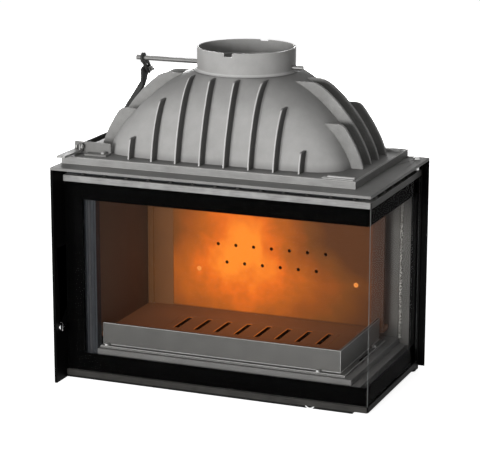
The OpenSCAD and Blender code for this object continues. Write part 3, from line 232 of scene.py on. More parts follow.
def new_piece(name, bm, body, mats, smooth):
    """Makes a piece of the mesh, smooth across edges under the angle given, and rides it on its body."""
    mesh = bpy.data.meshes.new(name)
    bm.normal_update()
    bm.to_mesh(mesh)
    bm.free()
    ob = bpy.data.objects.new(name, mesh)
    bpy.context.collection.objects.link(ob)
    for m in mats:
        mesh.materials.append(m)
    mesh.shade_smooth()
    mesh.set_sharp_from_angle(angle=math.radians(smooth))
    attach(ob, body)
    return ob


def eased(name, width, mats, shape=None, highlight_slot=-1):
    """The node's shape with eased edges; the last argument, where given, is the place in mats of the eased
    edges' material, a light painted highlight.
    """
    bm = bmesh.new()
    bm.from_mesh(frame["nodes"][name].data)
    bmesh.ops.remove_doubles(bm, verts=bm.verts, dist=1e-6)
    bmesh.ops.dissolve_limit(bm, angle_limit=math.radians(1), verts=bm.verts, edges=bm.edges)
    bmesh.ops.triangulate(bm, faces=[f for f in bm.faces if len(f.verts) > 4])
    for f in bm.faces:
        f.material_index = 0
    if shape:
        shape(bm)
    ob = new_piece(name + "_finished", bm, body_of[name], mats, smooth=35)
    bevel = ob.modifiers.new("eased_edges", "BEVEL")
    bevel.width, bevel.segments, bevel.limit_method = width, 2, "ANGLE"
    bevel.angle_limit, bevel.harden_normals, bevel.material = math.radians(40), True, highlight_slot
    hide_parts(name)


base_iron = cast("base_iron", (0.009, 0.009, 0.009), (0.018, 0.018, 0.017), (0.5, 0.65), 0.4)
eased("base_casting", 0.0008, [base_iron])
dress(base_iron, "hinge_lug", "air_slide")

# Air control: a plate that slides on the base's underside over two holes, moved by a chrome bead
# on its front end, which shows under the bottom rail.
drawn = surface_group("drawn_lines", Stretch=(1, 1, 1), Relief=0.1)
t = Tree(drawn)
drawn_in, drawn_out, at = t.add("NodeGroupInput"), t.add("NodeGroupOutput"), t.place()
pulled = t.add("ShaderNodeVectorMath", {"operation": "MULTIPLY"}, i0=at, i1=drawn_in.outputs["Stretch"])
lines, dull = t.noise(pulled.outputs[0], 900, 3, 0.6), t.noise(at, 26, 4, 0.55)
t.set(drawn_out, "Tone", t.span(t.math("MULTIPLY", t.math("ADD", lines, dull), 0.5), 0.35, 0.65, 0.0, 1.0))
t.set(drawn_out, "Rough", t.span(dull, 0.3, 0.7, 0.0, 1.0))
t.set(drawn_out, "Normal", t.add("ShaderNodeBump", Strength=drawn_in.outputs["Relief"], Distance=0.0004,
                                 Height=lines).outputs["Normal"])


def steel(name, dark, light, rough, metallic, relief, along):
    """Rolled, turned or brushed metal; along squeezes the pattern of fine lines on their axis."""
    m, t, shader = blank(name)
    g = t.add("ShaderNodeGroup", {"node_tree": drawn}, Relief=relief, Stretch=along)
    t.set(shader, "Base_Color", t.mix(g.outputs["Tone"], dark, light))
    t.set(shader, "Roughness", t.span(g.outputs["Rough"], 0.0, 1.0, rough[0], rough[1]))
    t.set(shader, "Normal", g.outputs["Normal"])
    shader.inputs["Metallic"].default_value = metallic
    shader.inputs["Specular IOR Level"].default_value = 0.04
    return m


chrome = steel("chrome", (0.72, 0.72, 0.72), (0.8, 0.8, 0.8), (0.06, 0.12), 1.0, 0.02, (1, 1, 1))
dress(chrome, "air_pull")

# Left jamb and rear sheet: folded steel sheet in satin black stove paint, screwed to the base.
# The jamb is the broad black strip left of the glass. The sheet's rear face has a thinner coat.
black_paint = cast("satin_black", (0.002, 0.002, 0.002), (0.004, 0.004, 0.004), (0.4, 0.5), 0.12, 0.02)
eased("left_jamb", 0.0009, [black_paint])
sheet_black = cast("sheet_black", (0.012, 0.012, 0.012), (0.022, 0.022, 0.021), (0.36, 0.5), 0.12, 0.15)


def thin_coat(bm):
    """Leaves only the rear face in the thin coat."""
    for f in bm.faces:
        f.material_index = int(f.normal.y < 0.5)


eased("back_sheet", 0.0004, [sheet_black, black_paint], thin_coat)

# Frame of the opening: a cast sill, a cast header and a fluted cast post at the left, and a cast
# wall behind the side glass. All are in grey stove paint, but the wall's end outside the door is black.
wall_grey = cast("wall_grey", (0.100, 0.097, 0.090), (0.135, 0.131, 0.123), (0.45, 0.6), 0.3)
sill_grey = cast("sill_grey", (0.165, 0.162, 0.157), (0.215, 0.211, 0.205), (0.45, 0.6), 0.3)
# A light tone painted on eased edges as a painted highlight.
edge_highlight = cast("edge_highlight", (0.50, 0.494, 0.482), (0.68, 0.673, 0.66), (0.3, 0.4), 0.1)
post_grey = cast("post_grey", (0.030, 0.032, 0.036), (0.052, 0.055, 0.060), (0.45, 0.6), 0.3)
# The sill's eased edges are painted light as a painted highlight.
eased("lower_frame", 0.0018, [sill_grey, edge_highlight], highlight_slot=1)
eased("left_post", 0.0008, [post_grey])
eased("header_frame", 0.0008, [post_grey])
WALL_GREY_END = 0.327
t = Tree(wall_grey.node_tree)
shader = wall_grey.node_tree.nodes["Principled BSDF"]
across = t.add("ShaderNodeSeparateXYZ", Vector=t.place()).outputs["X"]
inside = t.span(across, WALL_GREY_END - 0.0005, WALL_GREY_END + 0.0005, 1.0, 0.0)
grey = shader.inputs["Base Color"].links[0].from_socket
t.set(shader, "Base_Color", t.mix(inside, (0.003, 0.003, 0.003), grey))
dress(wall_grey, "rear_wall")

# Rope seal: off-white glass-fibre rope of four twisted strands, laid in the frame's grooves,
# with one more length up the rear wall. Soot has blackened the length beside the left post.
rope_fibre, t, shader = blank("rope_fibre")
fibre = t.span(t.noise(t.place(), 330, 2, 0.6), 0.44, 0.58, 0.0, 1.0)
darkening = t.noise(t.place(), 45, 4, 0.6)
across = t.add("ShaderNodeSeparateXYZ", Vector=t.place()).outputs["X"]
colour = t.mix(fibre, (0.07, 0.067, 0.06), (0.52, 0.51, 0.475))
colour = t.mix(t.span(darkening, 0.45, 0.75, 0.0, 0.7), colour, (0.12, 0.115, 0.105))
blackened = t.span(across, -0.288, -0.280, 0.97, 0.0)
t.set(shader, "Base_Color", t.mix(blackened, colour, (0.034, 0.035, 0.039)))
relief = t.add("ShaderNodeBump", Strength=0.5, Distance=0.0005, Height=fibre)
t.set(shader, "Normal", relief.outputs["Normal"])
shader.inputs["Roughness"].default_value = 0.9
LAY, STRAND, STEPS_A_TURN = 0.018, 0.0019, 9
SEAL_LEFT, SEAL_X, SEAL_Y, SEAL_END, SEAL_LOW, SEAL_HIGH = -0.294, 0.312, -0.1282, 0.1548, 0.013, 0.4385
REAR_X, REAR_Y, REAR_LOW, REAR_HIGH = 0.2945, 0.1884, 0.0663, 0.4317
rope_curve = bpy.data.curves.new("seal_rope", "CURVE")
rope_curve.dimensions = "3D"
rope_curve.bevel_depth = STRAND
rope_curve.bevel_resolution = 1
rope_curve.use_fill_caps = True
for start, end in (((SEAL_LEFT, SEAL_Y, SEAL_LOW), (SEAL_LEFT, SEAL_Y, SEAL_HIGH)),
                   ((SEAL_LEFT, SEAL_Y, SEAL_LOW), (SEAL_X, SEAL_Y, SEAL_LOW)),
                   ((SEAL_LEFT, SEAL_Y, SEAL_HIGH), (SEAL_X, SEAL_Y, SEAL_HIGH)),
                   ((SEAL_X, SEAL_Y, SEAL_LOW), (SEAL_X, SEAL_END, SEAL_LOW)),
                   ((SEAL_X, SEAL_Y, SEAL_HIGH), (SEAL_X, SEAL_END, SEAL_HIGH)),
                   ((REAR_X, REAR_Y, REAR_LOW), (REAR_X, REAR_Y, REAR_HIGH))):
    a, b = Vector(start), Vector(end)
    way = (b - a).normalized()
    side = way.orthogonal().normalized()
    up = way.cross(side)
    turns = (b - a).length / LAY
    steps = int(turns * STEPS_A_TURN)
    for strand in range(4):
        spline = rope_curve.splines.new("POLY")
        spline.points.add(steps)
        for k, point in enumerate(spline.points):
            angle = 2 * math.pi * (turns * k / steps + strand / 4)
            off_centre = (side * math.cos(angle) + up * math.sin(angle)) * STRAND
            point.co = (*(a + (b - a) * (k / steps) + off_centre), 1)
rope_guide = bpy.data.objects.new("rope_guide", rope_curve)
rope_bm = bmesh.new()
rope_bm.from_mesh(bpy.data.meshes.new_from_object(rope_guide))
bpy.data.objects.remove(rope_guide)
bmesh.ops.recalc_face_normals(rope_bm, faces=rope_bm.faces)
rope = new_piece("seal_rope", rope_bm, body_of["rope_seal"], [rope_fibre], smooth=70)
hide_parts("rope_seal")

# Firebox lining: a cast plate at the left, a cast fire back with air holes, and a corner plate
# that laps over both. The fire's light on the iron is a painted glow in its emission, strongest just left of
# the middle.
liner_brown = cast("liner_brown", (0.125, 0.100, 0.076), (0.17, 0.136, 0.103), (0.65, 0.8), 0.5, 0.08)
dress(liner_brown, "fire_plate_left")


def painted_glow(name, centre, reach, stops, base, taper=1.0, depth=0.5, darkening=0.5, shimmer=0.0, foot=-1.0):
    """Bare iron with the fire's light painted on as a glow in its emission, through the colours in stops from
    the outside of the glow to the middle.

    The glow lies about centre, as far as reach, and narrows upwards by taper. It is lost deeper than
    depth, dim under foot, and uneven by shimmer. Right of the x given as darkening, the iron is darker and
    its glow dimmer.
    """
    m, t, shader = blank(name)
    g, at = t.add("ShaderNodeGroup", {"node_tree": skin}, Relief=0.5), t.place()
    sway = (0.07, 0.0, 0.05)
    wave = t.add("ShaderNodeTexNoise", Vector=at, Scale=9.0, Detail=3.0).outputs["Color"]
    bent = t.add("ShaderNodeVectorMath", {"operation": "MULTIPLY_ADD"}, i0=wave, i1=sway, i2=at).outputs[0]
    moved = t.add("ShaderNodeMapping", {"vector_type": "TEXTURE"}, Vector=bent, Scale=reach,
                  Location=[c + w / 2 for c, w in zip(centre, sway)]).outputs[0]
    part = t.add("ShaderNodeSeparateXYZ", Vector=moved).outputs
    wide = t.math("MULTIPLY", part["X"], t.span(part["Z"], -0.2, 0.12, 1.0, taper))
    shaped = t.add("ShaderNodeCombineXYZ", X=wide, Y=part["Y"], Z=part["Z"]).outputs[0]
    heat = t.add("ShaderNodeTexGradient", {"gradient_type": "SPHERICAL"}, Vector=shaped).outputs["Fac"]
    heat = t.math("MULTIPLY", heat, t.span(g.outputs["Tone"], 0.0, 1.0, 0.88, 1.1))
    if shimmer:
        curl = t.span(t.noise(bent, 22, 5, 0.6), 0.3, 0.7, -shimmer, shimmer)
        heat = t.math("ADD", heat, t.math("MULTIPLY", heat, curl))
    where = t.add("ShaderNodeSeparateXYZ", Vector=at).outputs
    # Right of the given x the iron is darker and its painted glow dimmer.
    undarkened = t.span(where["X"], darkening, darkening + 0.006, 1.0, 0.0)
    rust = t.mix(g.outputs["Tone"], [c * 0.7 for c in base], base)
    t.set(shader, "Base_Color", t.mix(undarkened, (0.03, 0.026, 0.024), rust))
    t.set(shader, "Roughness", t.span(g.outputs["Rough"], 0.0, 1.0, 0.6, 0.8))
    t.set(shader, "Normal", g.outputs["Normal"])
    near = t.span(where["Y"], depth, depth + 0.001, 1.0, 0.0)
    lit = t.math("MULTIPLY", near, t.span(undarkened, 0.0, 1.0, 0.3, 1.0))
    lit = t.math("MULTIPLY", lit, t.span(where["Z"], foot, foot + 0.0035, 0.25, 1.0))
    unlit = [c * 0.15 for c in base]
    # The painted glow: emission standing in for the fire's light on the iron.
    t.set(shader, "Emission_Color", t.mix(lit, unlit, t.ramp(heat, stops)))
    shader.inputs["Emission Strength"].default_value = 1.0
    shader.inputs["Specular IOR Level"].default_value = 0.08
    return m


PLATE_FACE = 0.150
# The fire back's and corner plate's painted glow.
fire_back_glow = painted_glow("fire_back_iron", (-0.060, PLATE_FACE, 0.237), (0.312, 1.0, 0.275), [
    (0.0, (0.06, 0.017, 0.002)), (0.2, (0.15, 0.042, 0.003)), (0.33, (0.27, 0.06, 0.003)),
    (0.45, (0.40, 0.088, 0.003)), (0.55, (0.57, 0.11, 0.003)), (0.65, (0.78, 0.14, 0.004)),
    (0.85, (1.0, 0.26, 0.015))], (0.065, 0.031, 0.018),
    taper=1.62, depth=PLATE_FACE + 0.0005, darkening=0.237, shimmer=0.13, foot=0.095)
corner_glow = painted_glow("corner_iron", (-0.19, PLATE_FACE, 0.2), (0.14, 0.4, 0.4), [
    (0.0, (0.03, 0.016, 0.008)), (0.5, (0.085, 0.033, 0.010)), (1.0, (0.14, 0.05, 0.012))],
    (0.07, 0.04, 0.025))
dress(fire_back_glow, "fire_back")
dress(corner_glow, "corner_plate")
# The bolts carry a painted glow as well.
bolt_glow = painted_glow("bolt_glow", (0.02, PLATE_FACE, 0.2), (0.6, 1.0, 1.0), [
    (0.0, (0.55, 0.13, 0.03)), (1.0, (0.85, 0.30, 0.05))], (0.25, 0.10, 0.04))
dress(bolt_glow, "fire_back_bolts")

# Hearth: a cast plate with a lipped front, a loose slotted grate and a steel pan for the ash.
# The slots are dark; the fire's light on the plate, the grate and the slots' rims is a painted glow, and the
# plate's right end is darker.
# Painted glow on the hearth plate and grate, and a brighter one on the slots' rims.
hearth_glow = painted_glow("hearth_iron", (-0.02, 0.08, 0.094), (0.34, 0.34, 1.0), [
    (0.0, (0.03, 0.013, 0.007)), (0.5, (0.075, 0.026, 0.010)), (1.0, (0.13, 0.04, 0.012))],
    (0.12, 0.06, 0.035), darkening=0.236)
rim_glow = painted_glow("rim_glow", (0.0, 0.03, 0.09), (0.3, 0.3, 0.3), [
    (0.0, (0.10, 0.03, 0.008)), (0.6, (0.42, 0.10, 0.015)), (1.0, (0.7, 0.17, 0.02))],
    (0.10, 0.04, 0.02))
slot_black = cast("slot_black", (0.012, 0.008, 0.006), (0.02, 0.013, 0.01), (0.7, 0.85), 0.4)
pan_steel = steel("pan_steel", (0.05, 0.04, 0.035), (0.085, 0.07, 0.06), (0.5, 0.65), 0.5, 0.1,
                  (0.05, 1, 1))
eased("hearth_plate", 0.0008, [hearth_glow])
GRATE_EDGE, RIM_WIDTH = 0.004, 0.0009


def slot_rims(bm):
    """Gives the slots' walls the dark finish, and bevels their upper rims in the brighter painted glow."""
    bm.normal_update()
    lo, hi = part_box("grate")
    for f in bm.faces:
        p = f.calc_center_median()
        inside = all(lo[k] + GRATE_EDGE < p[k] < hi[k] - GRATE_EDGE for k in (0, 1))
        if inside and abs(f.normal.z) < 0.5:
            f.material_index = 2
    rims = [e for e in bm.edges if len({f.material_index for f in e.link_faces}) == 2
            and all(v.co.z > hi[2] - 0.0005 for v in e.verts)]
    bmesh.ops.bevel(bm, geom=rims, offset=RIM_WIDTH, segments=1, profile=0.5, affect="EDGES", material=1)


eased("grate", 0.0004, [hearth_glow, rim_glow, slot_black], slot_rims)
dress(pan_steel, "ash_pan")

# Fender: a cast rail in grey paint that keeps the logs in, held to the hearth by three bolts. Its
# eased edges are painted light as a painted highlight.
fender_grey = cast("fender_grey", (0.108, 0.106, 0.101), (0.148, 0.145, 0.138), (0.4, 0.52), 0.2)
zinc_steel = steel("zinc_steel", (0.5, 0.5, 0.49), (0.64, 0.64, 0.63), (0.24, 0.36), 0.9, 0.08,
                   (1, 1, 0.06))
eased("fender", 0.0009, [fender_grey, edge_highlight], highlight_slot=1)
dress(zinc_steel, "fender_bolts")

# Top plate and hood seat: a thick cast plate, and on it a shallow tray of machined plate that
# takes the hood. The tray's front face keeps the grinder's level lines.
plate_grey = cast("plate_grey", (0.235, 0.232, 0.226), (0.315, 0.312, 0.305), (0.42, 0.55), 0.2, 0.03)
seat_grey = steel("seat_grey", (0.28, 0.277, 0.27), (0.40, 0.396, 0.388), (0.42, 0.54), 0.0, 0.16,
                  (0.03, 1, 1))
eased("top_plate", 0.0009, [plate_grey])
# The seat's eased edges are painted light as a painted highlight.
eased("hood_seat", 0.0008, [seat_grey, edge_highlight], highlight_slot=1)

# Hood: one grey iron casting, a squarish dome that rounds off towards the flue. It is drawn up
# ring by ring, over the collar's seat and down inside, and closed at its foot. Its finish reads two
# marks in the mesh: a painted highlight on crests and edges, and painted shade in corners.
hood_grey = cast("hood_grey", (0.37, 0.365, 0.356), (0.47, 0.465, 0.456), (0.44, 0.58), 0.3, 0.06,
                 highlight_tone=(0.66, 0.655, 0.645))
DOME_Z, DOME_H, FLANGE_Z, WALL = 0.484, 0.172, 0.476, 0.008
TOP_HALF_W, TOP_FRONT, TOP_REAR, TOP_SQUARENESS = 0.106, -0.044, 0.178, 2.3
FOOT_WIDER, FOOT_FORWARD, FOOT_BACK, FOOT_SQUARER = 0.164, 0.063, 0.007, 2.7
FLUE_X, FLUE_Y, FLUE_R, AROUND, RISE, FALL = -0.015, 0.062, 0.100, 192, 40, 16
CIRCLE = [(math.cos(2 * math.pi * i / AROUND), math.sin(2 * math.pi * i / AROUND)) for i in range(AROUND)]


def swell(t, power=0.85):
    """The dome's fullness at the level t: 1 at its foot and 0 at its top."""
    return max(0.0, 1 - t ** 1.35) ** power


def climb(k, steps):
    """Level of a step, with the steps closer together near the top."""
    return 1 - (1 - k / steps) ** 1.25


def half_w(t):
    return TOP_HALF_W + FOOT_WIDER * swell(t, 0.7)


def level_shape(t):
    """Middle, half depth and squareness of the dome's outline at the level t."""
    front, rear = TOP_FRONT - FOOT_FORWARD * swell(t), TOP_REAR + FOOT_BACK * swell(t)
    return (front + rear) / 2, (rear - front) / 2, TOP_SQUARENESS + FOOT_SQUARER * (1 - t * t) ** 1.8


def outline(t, inset):
    mid, deep, n = level_shape(t)
    row = []
    for c, s in CIRCLE:
        r = (abs(c) ** n + abs(s) ** n) ** (-1 / n)
        row.append((FLUE_X + (half_w(t) - inset) * r * c, mid + (deep - inset) * r * s))
    return row


def flue_ring(r, z):
    return [(FLUE_X + r * c, FLUE_Y + r * s, z) for c, s in CIRCLE]


def draw(bm, rows, ends=True):
    """Extrudes a ring of points through rows of places, and closes its ends or joins them."""
    order = bm.verts.layers.int.get("order") or bm.verts.layers.int.new("order")
    ring = bmesh.ops.create_circle(bm, segments=len(rows[0]), radius=0.01)["verts"]
    edges = list({e for v in ring for e in v.link_edges})
    first, rings = edges, []
    for i, v in enumerate(ring):
        v[order] = i
    for k, row in enumerate(rows):
        if k:
            made = bmesh.ops.extrude_edge_only(bm, edges=edges)["geom"]
            ring = sorted((g for g in made if isinstance(g, bmesh.types.BMVert)), key=lambda v: v[order])
            far = set(ring)
            edges = [g for g in made if isinstance(g, bmesh.types.BMEdge) and far.issuperset(g.verts)]
        for v, p in zip(ring, row):
            v.co = p
        rings.append(ring)
    if ends:
        bmesh.ops.contextual_create(bm, geom=first)
        bmesh.ops.contextual_create(bm, geom=edges)
    else:
        bmesh.ops.bridge_loops(bm, edges=first + edges)
    return rings


hood_bm = bmesh.new()
painted_highlight = hood_bm.verts.layers.float.new("painted_highlight")
painted_shade_mark = hood_bm.verts.layers.float.new("deep")
SUNK, COLLAR_FIT, COLLAR_LAND = 0.001, 0.0002, 0.0045
levels = [climb(k, RISE) for k in range(RISE + 1)]
rows = [[(x, y, FLANGE_Z + SUNK) for x, y in outline(0, 0)]]
rows += [[(x, y, DOME_Z + DOME_H * t) for x, y in outline(t, 0)] for t in levels]
rows += [flue_ring(FLUE_R + COLLAR_LAND, DOME_Z + DOME_H), flue_ring(FLUE_R + COLLAR_FIT, DOME_Z + DOME_H),
         flue_ring(FLUE_R + COLLAR_FIT, DOME_Z + DOME_H - WALL)]
for t in [climb(k, FALL) for k in range(FALL, -1, -1)]:
    rows.append([(x, y, DOME_Z + (DOME_H - WALL) * t) for x, y in outline(t, WALL)])
rows.append([(x, y, FLANGE_Z + SUNK) for x, y in outline(0, WALL)])
rings = draw(hood_bm, rows, ends=False)
# Painted shade: the dome's foot, its upper part towards the flue, and the ring round the collar's seat are
# painted darker.
for v in rings[0]:
    v[painted_shade_mark] = 0.8
for k, ring in enumerate(rings[1:RISE + 2]):
    for v in ring:
        v[painted_shade_mark] = max(0.4 * (1 - k / 3), 0.5 * max(0.0, levels[k] - 0.55) / 0.45)
for ring in rings[RISE + 1:RISE + 3]:
    for v in ring:
        v[painted_shade_mark] = 0.85

# Ribs: eight thin ones in front and behind, cast in one with the dome. Each stands on a small
# fillet and is cut off level at its top. Its crest has a painted highlight, and its sides, the right one
# most, and its cut top have painted shade.
RIB_TOPS, RIB_PITCH = (0.25, 0.71, 0.985, 0.985, 0.985, 0.985, 0.71, 0.25), 0.053857
RIB_HALF, RIB_EASE, RIB_CORNER = 0.002, 0.0012, 0.004
FRONT_RIB, FRONT_RIB_GAIN, REAR_RIB = 0.025, 0.004, 0.007
ROOT_Z = DOME_Z - 0.0005


def depth_of(x, t, side):
    """The dome's surface in front or behind, at x and the level t."""
    mid, deep, n = level_shape(t)
    u = min(1, abs(x - FLUE_X) / half_w(t))
    return mid + side * deep * (1 - u ** n) ** (1 / n)


def cut_off(top, corner, start, knee):
    """Levels up to a top, each with how far the crest drops there to round its outer corner."""
    straight = top - start * corner / DOME_H
    steps = [(straight * k / 30, 0.0) for k in range(31)]
    return steps + [(top - knee * corner / DOME_H, 0.3 * corner), (top, corner)]


def both_sides(half):
    """A section through a plate from its right half, in order from the left foot over the crest."""
    return [(-w, up) for w, up in reversed(half)] + list(half)


for i, top in enumerate(RIB_TOPS):
    x = FLUE_X + (i - (len(RIB_TOPS) - 1) / 2) * RIB_PITCH
    for side in (-1, 1):
        rows = []
        for t, drop in cut_off(top, RIB_CORNER, 1.0, 0.3):
            tall = (FRONT_RIB + FRONT_RIB_GAIN * t if side < 0 else REAR_RIB) - drop
            section = both_sides(((RIB_HALF - RIB_EASE, tall), (RIB_HALF, tall - RIB_EASE), (RIB_HALF, 0.003),
                                  (RIB_HALF + 0.0008, 0.0005), (RIB_HALF + 0.0025, -0.001)))
            z = ROOT_Z + DOME_H * t
            rows.append([(x + w, depth_of(x + w, t, side) + side * up, z) for w, up in section])
        rings = draw(hood_bm, rows)
        for ring in rings:
            # Painted highlight on the crest; painted shade down the sides, darker on the right, and on the
            # cut top.
            for k, mark in ((3, 0.3), (4, 1.0), (5, 1.0), (9, 0.4)):
                ring[k][painted_highlight] = mark
            for k, mark in ((0, 0.2), (1, 0.5), (2, 0.7), (3, 0.2), (6, 0.75), (7, 1.0), (8, 0.7)):
                ring[k][painted_shade_mark] = mark
        for v in rings[-1] + rings[-2]:
            v[painted_shade_mark] = 0.7

# Fins: four thick cast plates at each side, square to the front, that carry heat off the dome.
# They are cut off level, with a round outer corner, and their edges have a painted highlight.
fin_grey = cast("fin_grey", (0.14, 0.138, 0.133), (0.33, 0.326, 0.317), (0.5, 0.65), 0.9, 0.03,
                highlight_tone=(0.56, 0.555, 0.545))
FIN_TOPS, FIRST_FIN_Y, FIN_PITCH = (0.52, 0.945, 0.945, 0.63), -0.033, 0.050
FIN_HALF, FIN_EASE, FIN_CORNER, FIN_FILLET = 0.004, 0.0012, 0.009, 0.002
FIN_REACH, FIN_LESS_AT_FOOT = 0.042, 0.019
cast_so_far = set(hood_bm.faces)


def width_of(y, t):
    """The dome's half width at y and the level t."""
    mid, deep, n = level_shape(t)
    u = min(1, abs(y - mid) / deep)
    return half_w(t) * (1 - u ** n) ** (1 / n)


for i, top in enumerate(FIN_TOPS):
    y = FIRST_FIN_Y + FIN_PITCH * i + FIN_HALF
    for side in (-1, 1):
        rows = []
        for t, drop in cut_off(top, FIN_CORNER, 0.8, 0.2):
            foot, out = width_of(y, t), half_w(t) + FIN_REACH - FIN_LESS_AT_FOOT * swell(t) - drop
            section = both_sides(((FIN_HALF - FIN_EASE, out), (FIN_HALF, out - FIN_EASE),
                                  (FIN_HALF, foot + FIN_FILLET), (FIN_HALF + FIN_FILLET, foot - FIN_FILLET)))
            rows.append([(FLUE_X + side * at, y + w, ROOT_Z + DOME_H * t) for w, at in section])
        for ring in draw(hood_bm, rows):
            # Painted highlight along the fin's edges.
            for k, mark in ((1, 0.15), (2, 0.3), (3, 0.9), (4, 0.9), (5, 0.3)):
                ring[k][painted_highlight] = mark
for f in set(hood_bm.faces) - cast_so_far:
    f.material_index = 1

# Flange: the hood's flat foot, which lies in the seat's tray. Its outer edges are eased, and
# two raised pads stand near its right corners, the front one on a flat step.
LEFT, RIGHT, FRONT, REAR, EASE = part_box("hood")[0][0], 0.2985, -0.1455, 0.195, 0.0008
mid_x, mid_y = (LEFT + RIGHT) / 2, (FRONT + REAR) / 2
corner_angle = math.atan2(REAR - FRONT, RIGHT - LEFT)
corner_at = [round(angle / (2 * math.pi) * AROUND) for angle in (
    corner_angle, math.pi - corner_angle, math.pi + corner_angle, 2 * math.pi - corner_angle)]


def rim(inset, z):
    """The flange's outline in as many points as the dome's, with one on each corner."""
    wide, deep = (RIGHT - LEFT) / 2 - inset, (REAR - FRONT) / 2 - inset
    row = []
    for i, (c, s) in enumerate(CIRCLE):
        reach = min(wide / max(abs(c), 1e-9), deep / max(abs(s), 1e-9))
        x, y = reach * c, reach * s
        if i in corner_at:
            x, y = math.copysign(wide, c), math.copysign(deep, s)
        row.append((mid_x + x, mid_y + y, z))
    return row


def block(bm, lo, hi):
    made = bmesh.ops.create_cube(bm, size=1)["verts"]
    bmesh.ops.scale(bm, verts=made, vec=[b - a for a, b in zip(lo, hi)])
    bmesh.ops.translate(bm, verts=made, vec=[(a + b) / 2 for a, b in zip(lo, hi)])
    return made


foot = outline(0, WALL / 2)
rows = [[(x, y, FLANGE_Z) for x, y in foot], rim(4 * EASE, FLANGE_Z), rim(EASE, FLANGE_Z),
        rim(0, FLANGE_Z + EASE), rim(0, DOME_Z - EASE), rim(EASE * 0.3, DOME_Z - EASE * 0.3),
        rim(EASE, DOME_Z), rim(2 * EASE, DOME_Z), rim(5 * EASE, DOME_Z), [(x, y, DOME_Z) for x, y in foot]]
rings = draw(hood_bm, rows, ends=False)
# Painted highlight on the flange's upper edge, and painted shade on its top round the dome's foot.
for v in rings[5] + rings[6]:
    v[painted_highlight] = 0.5
for v in rings[8]:
    v[painted_shade_mark] = 0.45
for v in rings[9]:
    v[painted_shade_mark] = 0.9
PAD_FOOT, STEP_TOP, PAD_TOP, PAD_EASE = DOME_Z - 0.0002, DOME_Z + 0.0015, DOME_Z + 0.004, 0.0007
for lo, hi in (((0.2275, -0.1415, PAD_FOOT), (0.2945, -0.1245, STEP_TOP)),
               ((0.2365, -0.1325, PAD_FOOT), (0.2945, -0.1245, PAD_TOP)),
               ((0.2625, 0.160, PAD_FOOT), (0.2945, 0.168, PAD_TOP))):
    around = list({e for v in block(hood_bm, lo, hi) for e in v.link_edges})
    soft = bmesh.ops.bevel(hood_bm, geom=around, offset=PAD_EASE, segments=2, profile=0.5, affect="EDGES",
                           material=-1)
    # Painted highlight on the pads' eased edges.
    for v in soft["verts"]:
        v[painted_highlight] = 0.6
bmesh.ops.recalc_face_normals(hood_bm, faces=hood_bm.faces)
hood = new_piece("hood_casting", hood_bm, body_of["hood"], [hood_grey, fin_grey], smooth=38)
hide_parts("hood")
dress(zinc_steel, "hood_bolt")

# Flue collar: a turned cast ring with a notched rim that takes the flue pipe, cemented into the
# hood. The cement shows as a narrow bead round its foot.
# The collar's eased edges are painted light as a painted highlight.
eased("flue_collar", 0.0008, [hood_grey, edge_highlight], highlight_slot=1)
COLLAR_R, HOOD_TOP = 0.1040, DOME_Z + DOME_H
bead_bm = bmesh.new()
bead_painted_highlight = bead_bm.verts.layers.float.new("painted_highlight")
section = [bead_bm.verts.new((FLUE_X + COLLAR_R + out, FLUE_Y, HOOD_TOP + up)) for out, up in (
    (0.0, 0.0046), (0.0006, 0.0030), (0.0018, 0.0016), (0.0034, 0.0006), (0.0052, 0.0001), (0.0, 0.0001))]
bead = section + [bead_bm.edges.new(pair) for pair in zip(section, section[1:] + section[:1])]
bmesh.ops.spin(bead_bm, geom=bead, cent=(FLUE_X, FLUE_Y, HOOD_TOP), axis=(0, 0, 1), angle=2 * math.pi,
               steps=120, use_merge=True)
bmesh.ops.remove_doubles(bead_bm, verts=bead_bm.verts, dist=1e-6)
# Every point of the bead carries the painted-highlight mark, so the bead is painted lighter than the hood.
for v in bead_bm.verts:
    v[bead_painted_highlight] = 0.6
bmesh.ops.recalc_face_normals(bead_bm, faces=bead_bm.faces)
new_piece("collar_bead", bead_bm, body_of["hood"], [hood_grey], smooth=60)

# Damper: an iron disc screwed to a turned steel shaft that runs through the collar, with a flat
# slotted crank on its left end.
damper_iron = cast("bare_iron", (0.07, 0.068, 0.065), (0.11, 0.107, 0.1), (0.5, 0.65), 0.4)
turned_steel = steel("turned_steel", (0.17, 0.168, 0.163), (0.27, 0.267, 0.26), (0.28, 0.4), 0.7, 0.1,
                     (1, 0.06, 0.06))
dark_bar = cast("dark_bar", (0.040, 0.040, 0.039), (0.075, 0.074, 0.072), (0.38, 0.5), 0.15)
dress(damper_iron, "damper_disc")
dress(zinc_steel, "disc_screws")
dress(turned_steel, "damper_shaft")
eased("damper_crank", 0.0006, [dark_bar])

# Pull bar: flat black bar that runs from the crank's pin down to the flange and forward through
# a folded bracket, with a grey tab on its end to pull by.
eased("pull_bar", 0.0006, [dark_bar])
bracket_grey = cast("bracket_grey", (0.20, 0.197, 0.19), (0.28, 0.277, 0.27), (0.42, 0.55), 0.2)
eased("bar_bracket", 0.0006, [bracket_grey])
tab_grey = cast("tab_grey", (0.34, 0.335, 0.325), (0.46, 0.455, 0.445), (0.42, 0.55), 0.2)
eased("pull_tab", 0.0006, [tab_grey])
dress(turned_steel, "crank_pin")
dress(zinc_steel, "bracket_bolt", "pull_tab_bolt")

# Door frame: steel rails above and below the glass and two black stiles, screwed together. The top
# rail's front is silver grey and the low rail is dark. Each rail's side leg and right-facing faces are
# painted darker as painted shade, and the top rail's eased edges lighter as a painted highlight.
rail_silver = steel("rail_silver", (0.22, 0.218, 0.214), (0.44, 0.436, 0.428), (0.34, 0.46), 0.0, 0.12,
                    (0.03, 1, 1))
rail_dark = steel("rail_dark", (0.034, 0.033, 0.031), (0.062, 0.060, 0.056), (0.36, 0.48), 0.0, 0.12,
                  (0.03, 1, 1))


